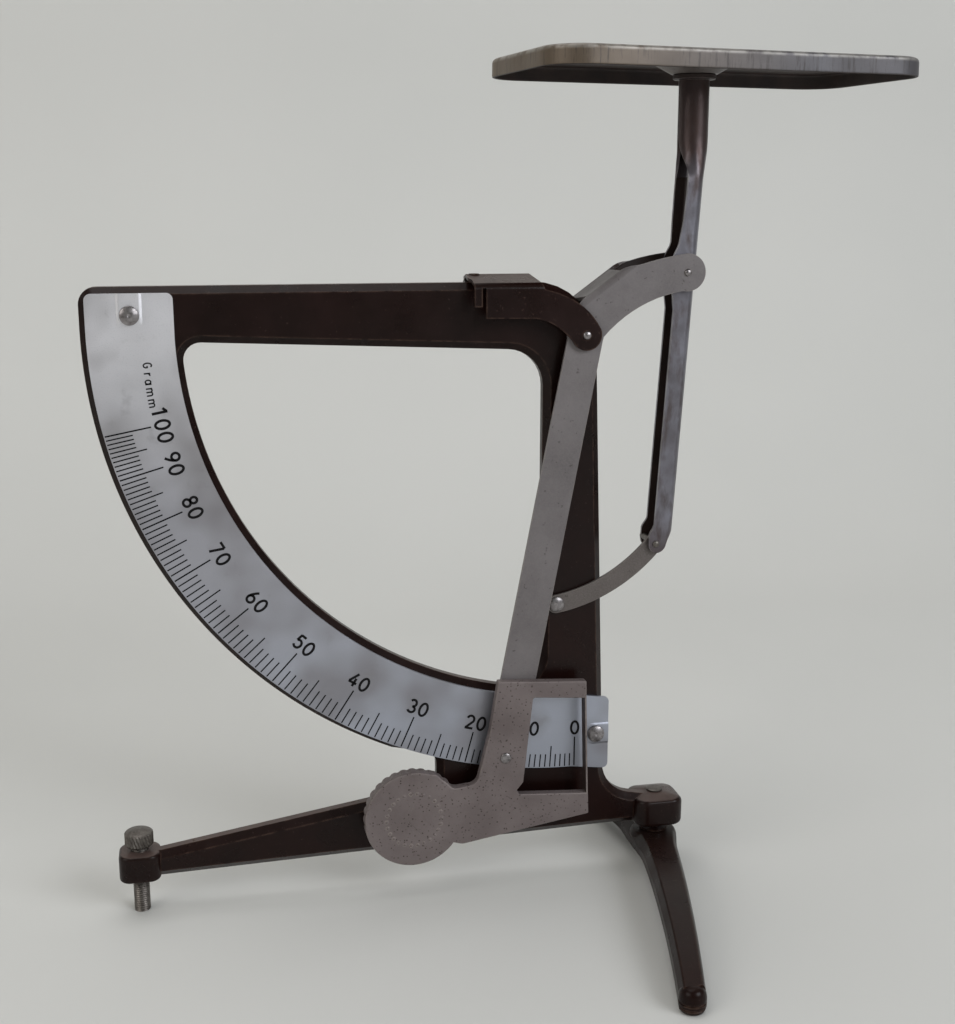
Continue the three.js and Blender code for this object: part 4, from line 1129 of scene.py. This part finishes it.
def pan_stem():
    heights = [LINK_PIN_Z - STEM_END_RADIUS * math.sin(math.radians(15 * i)) for i in range(1, 6)]
    heights += [LINK_PIN_Z + 0.6 * i for i in range(10)]
    heights += [96 + 4.5 * i for i in range(12)]
    heights += [PAN_PIN_Z - 5 + 1.0 * i for i in range(18)]
    heights += [TUBE_BOTTOM - 11 + 1.0 * i for i in range(16)]
    heights += [192, FLANGE_BOTTOM - 0.05]
    rings = [stem_section(z) for z in sorted(set(heights))]
    mesh = skin(rings, closed=False)
    mesh = with_modifier(mesh, "SOLIDIFY", thickness=SHEET, offset=0)
    mesh = with_modifier(mesh, "BEVEL", width=0.14, segments=2, limit_method="ANGLE", angle_limit=math.radians(60))

    # Faces inside the open channel get the dark brown of painted shade.
    def is_inside(polygon):
        between_flanges = polygon.center.y * polygon.normal.y < 0 and abs(polygon.normal.y) > 0.4
        faces_open_side = polygon.normal.x < -0.3 and abs(polygon.center.y) < STEM_HALF - SHEET
        return polygon.center.z < TUBE_BOTTOM - 7 and (between_flanges or faces_open_side)

    finish_piece("pan_stem_channel", mesh, STEM_METAL, "pan_stem", ["pan_stem"],
                 second=PAINTED_SHADE_BROWN, takes_second=is_inside)


def guide_link():
    half = 2.35
    sag = 2.6
    start = Vector((LINK_RIVET_X, LINK_RIVET_Z))
    end = Vector((LINK_PIN_X, LINK_PIN_Z))
    chord = end - start
    radius = (chord.length ** 2 / 4 + sag ** 2) / (2 * sag)
    up = Vector((-chord.y, chord.x)).normalized()
    centre = (start + end) / 2 + up * (radius - sag)
    tilt = math.degrees(math.atan2(chord.y, chord.x))
    reach = math.degrees(math.asin(chord.length / 2 / radius))
    low, high = tilt - 90 - reach, tilt - 90 + reach
    outline = arc(centre.x, centre.y, radius + half, low, high, 28)
    outline += arc(end.x, end.y, half, high, high + 180, 14)[1:-1]
    outline += arc(centre.x, centre.y, radius - half, high, low, 28)
    outline += arc(start.x, start.y, half, low + 180, low + 360, 14)[1:-1]
    holes = [circle(end.x, end.y, 1.2, 24), circle(start.x, start.y, 1.35, 24)]
    mesh = slab([outline] + holes, -LINK_NEAR, -LINK_NEAR + SHEET, 0.12)
    finish_piece("guide_link_strip", mesh, LINK_PAINT, "guide_link", ["guide_link"])


def link_rivet():
    front = -LINK_NEAR - 0.1
    head = dome(1.75, front - 0.3, -0.4, 5)
    profile = list(reversed(head)) + [(1.85, front - 0.25), (1.85, front), (1.2, front), (1.2, FRAME_HALF + 0.05)]
    profile += [(1.8, FRAME_HALF + 0.05)] + dome(1.8, FRAME_HALF + 0.15, 0.5, 4)
    finish_piece("guide_rivet", turned(profile, LINK_RIVET_X, LINK_RIVET_Z), BRIGHT_STEEL, "frame",
                 ["guide_link_rivet"])


# ------------------------------------------------------------------ pan

PAN_OFFSET = 2.7
PAN_TURN = 8
PAN_LENGTH = 96.4
PAN_WIDTH = 46.6
PAN_CORNER = 9.5
DISH_DEPTH = 2.9


def pan_ring(inset, z):
    """A ring of the pan's outline, drawn inwards by inset, with the stem's axis at X = 0."""
    ring = rounded_rectangle(PAN_LENGTH - 2 * inset, PAN_WIDTH - 2 * inset, PAN_CORNER - inset, 10, 10)
    return [(PAN_OFFSET + x, y, z) for x, y in ring]


def dish_ring(radius, z, blend=0.0):
    """A circle about the stem whose points line up with the pan's outline, blended towards that outline."""
    ring = []
    for x, y in rounded_rectangle(PAN_LENGTH, PAN_WIDTH, PAN_CORNER, 10, 10):
        angle = math.atan2(y, x + PAN_OFFSET)
        px = radius * math.cos(angle)
        py = radius * math.sin(angle)
        ring.append((px + (PAN_OFFSET + x * 0.94 - px) * blend, py + (y * 0.92 - py) * blend, z))
    return ring


def pan():
    top = PAN_TOP
    floor = top - DISH_DEPTH
    upper = [dish_ring(2.35, floor), dish_ring(4.0, floor), dish_ring(4.8, floor + 0.12), dish_ring(8.6, top - 0.75)]
    upper += [dish_ring(10, top - 0.22), dish_ring(11.6, top - 0.04), dish_ring(13, top)]
    upper += [dish_ring(13, top, share) for share in (0.3, 0.65)]
    rim = [pan_ring(edge_inset, z) for edge_inset, z in (
        (1.5, top), (1.0, top - 0.06), (0.5, top - 0.28), (0.2, top - 0.6), (0.06, top - 1.1),
        (0, PAN_BOTTOM + 0.4), (0.06, PAN_BOTTOM + 0.12), (0.3, PAN_BOTTOM), (0.55, PAN_BOTTOM + 0.05),
        (0.75, PAN_BOTTOM + 0.3), (0.82, top - 1.6), (1.0, top - 1.1), (1.6, top - 0.82), (2.2, top - 0.8),
    )]
    lower = [dish_ring(13, top - 0.8, share) for share in (0.65, 0.3)]
    lower += [dish_ring(12.4, top - 0.8), dish_ring(10.6, top - 1.0), dish_ring(9.4, top - 1.5)]
    lower += [dish_ring(5.6, floor - 0.72), dish_ring(4.6, floor - 0.8), dish_ring(2.35, floor - 0.8)]
    mesh = skin(upper + rim + lower, loop=True)
    mesh.transform(Matrix.Translation((TUBE_X, 0, 0)) @ Matrix.Rotation(math.radians(PAN_TURN), 4, "Z"))

    # The underside and the inside of the rim get the dark brown of painted shade.
    def is_underside(polygon):
        outwards = Vector((polygon.center.x - TUBE_X, polygon.center.y, 0))
        inside_rim = polygon.center.z < top - 0.6 and polygon.normal.dot(outwards) < 0
        return outwards.length > 13 and (polygon.normal.z < -0.3 or inside_rim)

    finish_piece("pan_tray", mesh, PAN_PAINT, "pan_stem", ["pan"],
                 second=PAINTED_SHADE_BROWN, takes_second=is_underside)


def pan_fixings():
    low, high = node_span("pan_flange", 2)
    washer = [(2.35, low), (4.9, low), (5.1, low + 0.2), (5.1, high - 0.2), (4.9, high), (2.35, high)]
    mesh = turned(washer, TUBE_X, 0, "Z", loop=True)
    # The washer is dark brown, partly its own paint and partly painted shade under the pan.
    finish_piece("pan_washer", mesh, PAINTED_SHADE_BROWN, "pan_stem", ["pan_flange"])
    seat = PAN_TOP - DISH_DEPTH + 0.05
    profile = [(0, low - 7), (2.3, low - 7), (2.3, seat), (3.35, seat)] + dome(3.4, seat + 0.25, 0.9, 6)
    finish_piece("pan_clinch", turned(profile, TUBE_X, 0, "Z"), DULL_STEEL, "pan_stem", ["pan_rivet"])


# ------------------------------------------------------------------ levelling screw

SCREW_HEAD_BOTTOM = 17.1
SCREW_HEAD_TOP = 21.2
THREAD_PITCH = 0.55


def knurl(angle, radius, height):
    """Slanting ridges round the head."""
    if radius < 3.2:
        return radius
    wave = abs(((angle / (2 * math.pi) * 26 + height * 0.42) % 1) * 2 - 1)
    return radius - 0.3 * wave


def thread(angle, radius, height):
    """A helical V thread."""
    wave = abs(((height / THREAD_PITCH - angle / (2 * math.pi)) % 1) * 2 - 1)
    return radius - 0.22 * wave


def levelling_screw():
    steps_per_turn = 6
    turns = int(SCREW_HEAD_BOTTOM / THREAD_PITCH)
    shank = [(0, 0), (1.55, 0)]
    for i in range(1, turns * steps_per_turn):
        shank.append((2.0, i * THREAD_PITCH / steps_per_turn))
    shank += [(2.0, SCREW_HEAD_BOTTOM + 0.2), (0, SCREW_HEAD_BOTTOM + 0.2)]
    body = turned(shank, SCREW_X, 0, "Z", steps=24, ripple=lambda a, r, h: thread(a, r, h) if r == 2.0 else r)
    sides = [(3.5, SCREW_HEAD_BOTTOM + 0.45 + 0.25 * i) for i in range(12)]
    head = [(0, SCREW_HEAD_BOTTOM), (3.1, SCREW_HEAD_BOTTOM)] + sides
    head += [(3.19, SCREW_HEAD_TOP - 0.62), (2.7, SCREW_HEAD_TOP - 0.33), (1.8, SCREW_HEAD_TOP - 0.1)]
    head += [(0, SCREW_HEAD_TOP)]
    cap = turned(head, SCREW_X, 0, "Z", steps=208, ripple=knurl)
    finish_piece("levelling_thumbscrew", joined(body, cap), DULL_STEEL, "levelling_screw",
                 ["levelling_screw"], smooth_angle=28)


# ------------------------------------------------------------------ cross foot

FOOT_TIP_X = 7.4
FOOT_TIP_Y = 70.9
FOOT_TIP_HEIGHT = 5.8
FOOT_TOP = 8.8
FOOT_BOTTOM = 4.2


def foot_ring(y):
    """One cross-section of the foot: flat below, with sloping shoulders and a narrow rounded back."""
    share = abs(y) / FOOT_TIP_Y
    x = BOSS_X - (BOSS_X - FOOT_TIP_X) * share ** 1.18
    half = 5.2 + (3.05 - 5.2) * share ** 0.8 + 1.2 * (1 - smooth_step(share, 0.0, 0.16))
    top = FOOT_TOP - (FOOT_TOP - FOOT_TIP_HEIGHT) * share ** 4 - 0.02
    bottom = FOOT_BOTTOM * (1 - share ** 4) + 0.35 * share ** 4
    low, high = bottom + 0.5, top
    outline = soft_polygon([
        (x - half, low, 0.4), (x - half * 0.9, bottom, 0.3), (x + half * 0.9, bottom, 0.3), (x + half, low, 0.4),
        (x + half * 0.97, high - 1.1, 0.5), (x + half * 0.8, high, 0.7), (x - half * 0.66, high, 0.7),
        (x - half * 0.97, (low + high) / 2, 0.8),
    ], 3)
    return [(px, y, pz) for px, pz in outline]


def cross_foot():
    rows = 56
    arms = skin([foot_ring(FOOT_TIP_Y * (2 * i / rows - 1)) for i in range(rows + 1)])
    hub = turned([(0, FOOT_BOTTOM), (5.7, FOOT_BOTTOM), (6.1, FOOT_BOTTOM + 0.4), (6.1, FOOT_TOP - 1.2),
                  (5.7, FOOT_TOP - 0.3), (5.2, FOOT_TOP), (0, FOOT_TOP)], BOSS_X, 0, "Z")
    mesh = boolean(arms, hub, "UNION")
    tip_profile = [(0, 0), (2.1, 0), (2.7, 0.35), (2.95, 1.0), (2.75, 1.2), (3.1, 1.5), (3.1, 2.2), (2.85, 2.4), (3.1, 2.7),
                   (3.1, 3.6), (2.9, 4.5), (2.3, 5.3), (1.3, 5.7), (0, 5.8)]
    for side in (-1, 1):
        tip = turned(tip_profile, FOOT_TIP_X, 0, "Z")
        tip.transform(Matrix.Translation((0, side * FOOT_TIP_Y, 0)))
        mesh = boolean(mesh, tip, "UNION")
    finish_piece("cross_foot_casting", mesh, FOOT_ENAMEL, "cross_foot", ["cross_foot"])


def foot_fixings():
    low, high = node_span("cross_foot_collar", 2)
    collar = [(0, low), (3.3, low), (3.65, low + 0.3), (3.65, high - 0.3), (3.4, high), (0, high)]
    finish_piece("cross_foot_spacer", turned(collar, BOSS_X, 0, "Z"), ENAMEL, "frame",
                 ["cross_foot_collar"])
    low, high = node_span("cross_foot_rivet", 2)
    profile = list(reversed(dome(2.5, low + 0.9, -0.85, 4))) + [(2.5, low + 1.0), (1.45, low + 1.05), (1.45, high - 0.6)]
    profile += [(2.05, high - 0.55), (2.1, high - 0.35)] + dome(2.0, high - 0.25, 0.24, 4)
    finish_piece("cross_foot_pivot", turned(profile, BOSS_X, 0, "Z"), DULL_STEEL, "frame",
                 ["cross_foot_rivet"])


# ------------------------------------------------------------------ build

quadrant_frame()
dial_plate()
dial_rivets()
dial_print()
bearing_bracket()
bracket_rivet()
pin("main_pin", "main_pivot_pin", 0, PIVOT_Z, 0.95, BRACKET_HALF + 0.2, "frame", BRIGHT_STEEL)
beam()
index_weight()
index_rivet()
pin("pan_stem_pin_upper", "pan_stem_upper_pin", PAN_PIN_X, PAN_PIN_Z, 0.85, BEAM_HALF + 0.2, "beam",
    BRIGHT_STEEL)
pin("pan_stem_pin_lower", "pan_stem_lower_pin", LINK_PIN_X, LINK_PIN_Z, 0.85, STEM_HALF + 0.2, "pan_stem",
    DULL_STEEL)
pan_stem()
guide_link()
link_rivet()
pan()
pan_fixings()
levelling_screw()
cross_foot()
foot_fixings()


# ------------------------------------------------------------------ floor, light and camera

def backdrop():
    """A pale floor that curves up into a wall behind the balance. The wall can't be seen from its rear."""
    radius = 0.25
    start = 0.22
    profile = [(-1.2, 0.0), (start, 0.0)]
    for i in range(1, 17):
        a = math.pi / 2 * i / 16
        profile.append((start + radius * math.sin(a), radius * (1 - math.cos(a))))
    profile.append((start + radius, 1.6))
    rings = [[(side, y, z) for y, z in profile] for side in (-1.8, 2.0)]
    mesh = skin(rings, closed=False)
    if mesh.polygons[0].normal.z < 0:
        mesh.flip_normals()
    mesh.shade_smooth()
    shader = Shader("pale_floor")
    colour = shader.mix(shader.noise(160, 2), linear(206, 206, 203), linear(214, 213, 210))
    shader.bump(shader.noise(3, 2), 0.05, 0.2)
    one_sided = shader.node("ShaderNodeMixShader")
    shader.link(shader.node("ShaderNodeNewGeometry").outputs["Backfacing"], one_sided.inputs["Fac"])
    shader.link(shader.surface.outputs["BSDF"], one_sided.inputs[1])
    shader.link(shader.node("ShaderNodeBsdfTransparent").outputs["BSDF"], one_sided.inputs[2])
    shader.link(one_sided.outputs["Shader"], shader.tree.nodes["Material Output"].inputs["Surface"])
    mesh.materials.append(shader.paint(colour, 0.7))
    obj = bpy.data.objects.new("backdrop", mesh)
    bpy.context.collection.objects.link(obj)


def soft_light(name, position, target, size, power, colour=(1, 1, 1)):
    light = bpy.data.lights.new(name, "AREA")
    light.shape = "RECTANGLE"
    light.size = size
    light.size_y = size * 0.8
    light.energy = power
    light.color = colour
    obj = bpy.data.objects.new(name, light)
    obj.location = position
    obj.rotation_euler = (Vector(target) - Vector(position)).to_track_quat("-Z", "Y").to_euler()
    bpy.context.collection.objects.link(obj)


def world_light():
    """Faint light from all round, which looks brighter than it lights."""
    world = bpy.data.worlds.new("soft_world")
    world.use_nodes = True
    background = world.node_tree.nodes["Background"]
    background.inputs["Color"].default_value = linear(214, 216, 210)
    seen = world.node_tree.nodes.new("ShaderNodeMapRange")
    seen.inputs["To Min"].default_value = 0.3
    seen.inputs["To Max"].default_value = 0.75
    light_path = world.node_tree.nodes.new("ShaderNodeLightPath")
    world.node_tree.links.new(light_path.outputs["Is Camera Ray"], seen.inputs["Value"])
    world.node_tree.links.new(seen.outputs["Result"], background.inputs["Strength"])
    bpy.context.scene.world = world


def photo_camera():
    """The photograph's view: from the left of the balance, looking down 12.5 degrees and right 12 degrees."""
    turn = math.radians(12)
    down = math.radians(12.5)
    position = Vector((PIVOT_X - 94.9, -328.3, 171.2)) * MM
    direction = Vector((math.sin(turn) * math.cos(down), math.cos(turn) * math.cos(down), -math.sin(down)))
    camera = bpy.data.cameras.new("camera")
    camera.sensor_width = 36
    camera.lens = 49.22
    camera.clip_start = 0.01
    obj = bpy.data.objects.new("camera", camera)
    obj.location = position
    obj.rotation_euler = direction.to_track_quat("-Z", "Y").to_euler()
    bpy.context.collection.objects.link(obj)
    bpy.context.scene.camera = obj


bpy.context.scene.view_settings.view_transform = "Standard"
backdrop()
world_light()
middle = (0.09, 0, 0.1)
soft_light("window_right", (0.75, -0.8, 0.6), middle, 0.7, 7.5, (0.93, 0.96, 1))
soft_light("fill_left", (-0.9, -0.5, 0.6), middle, 0.8, 4, (1, 0.97, 0.93))
soft_light("top", (0.0, 0.15, 1.1), middle, 0.9, 3.5)
photo_camera()
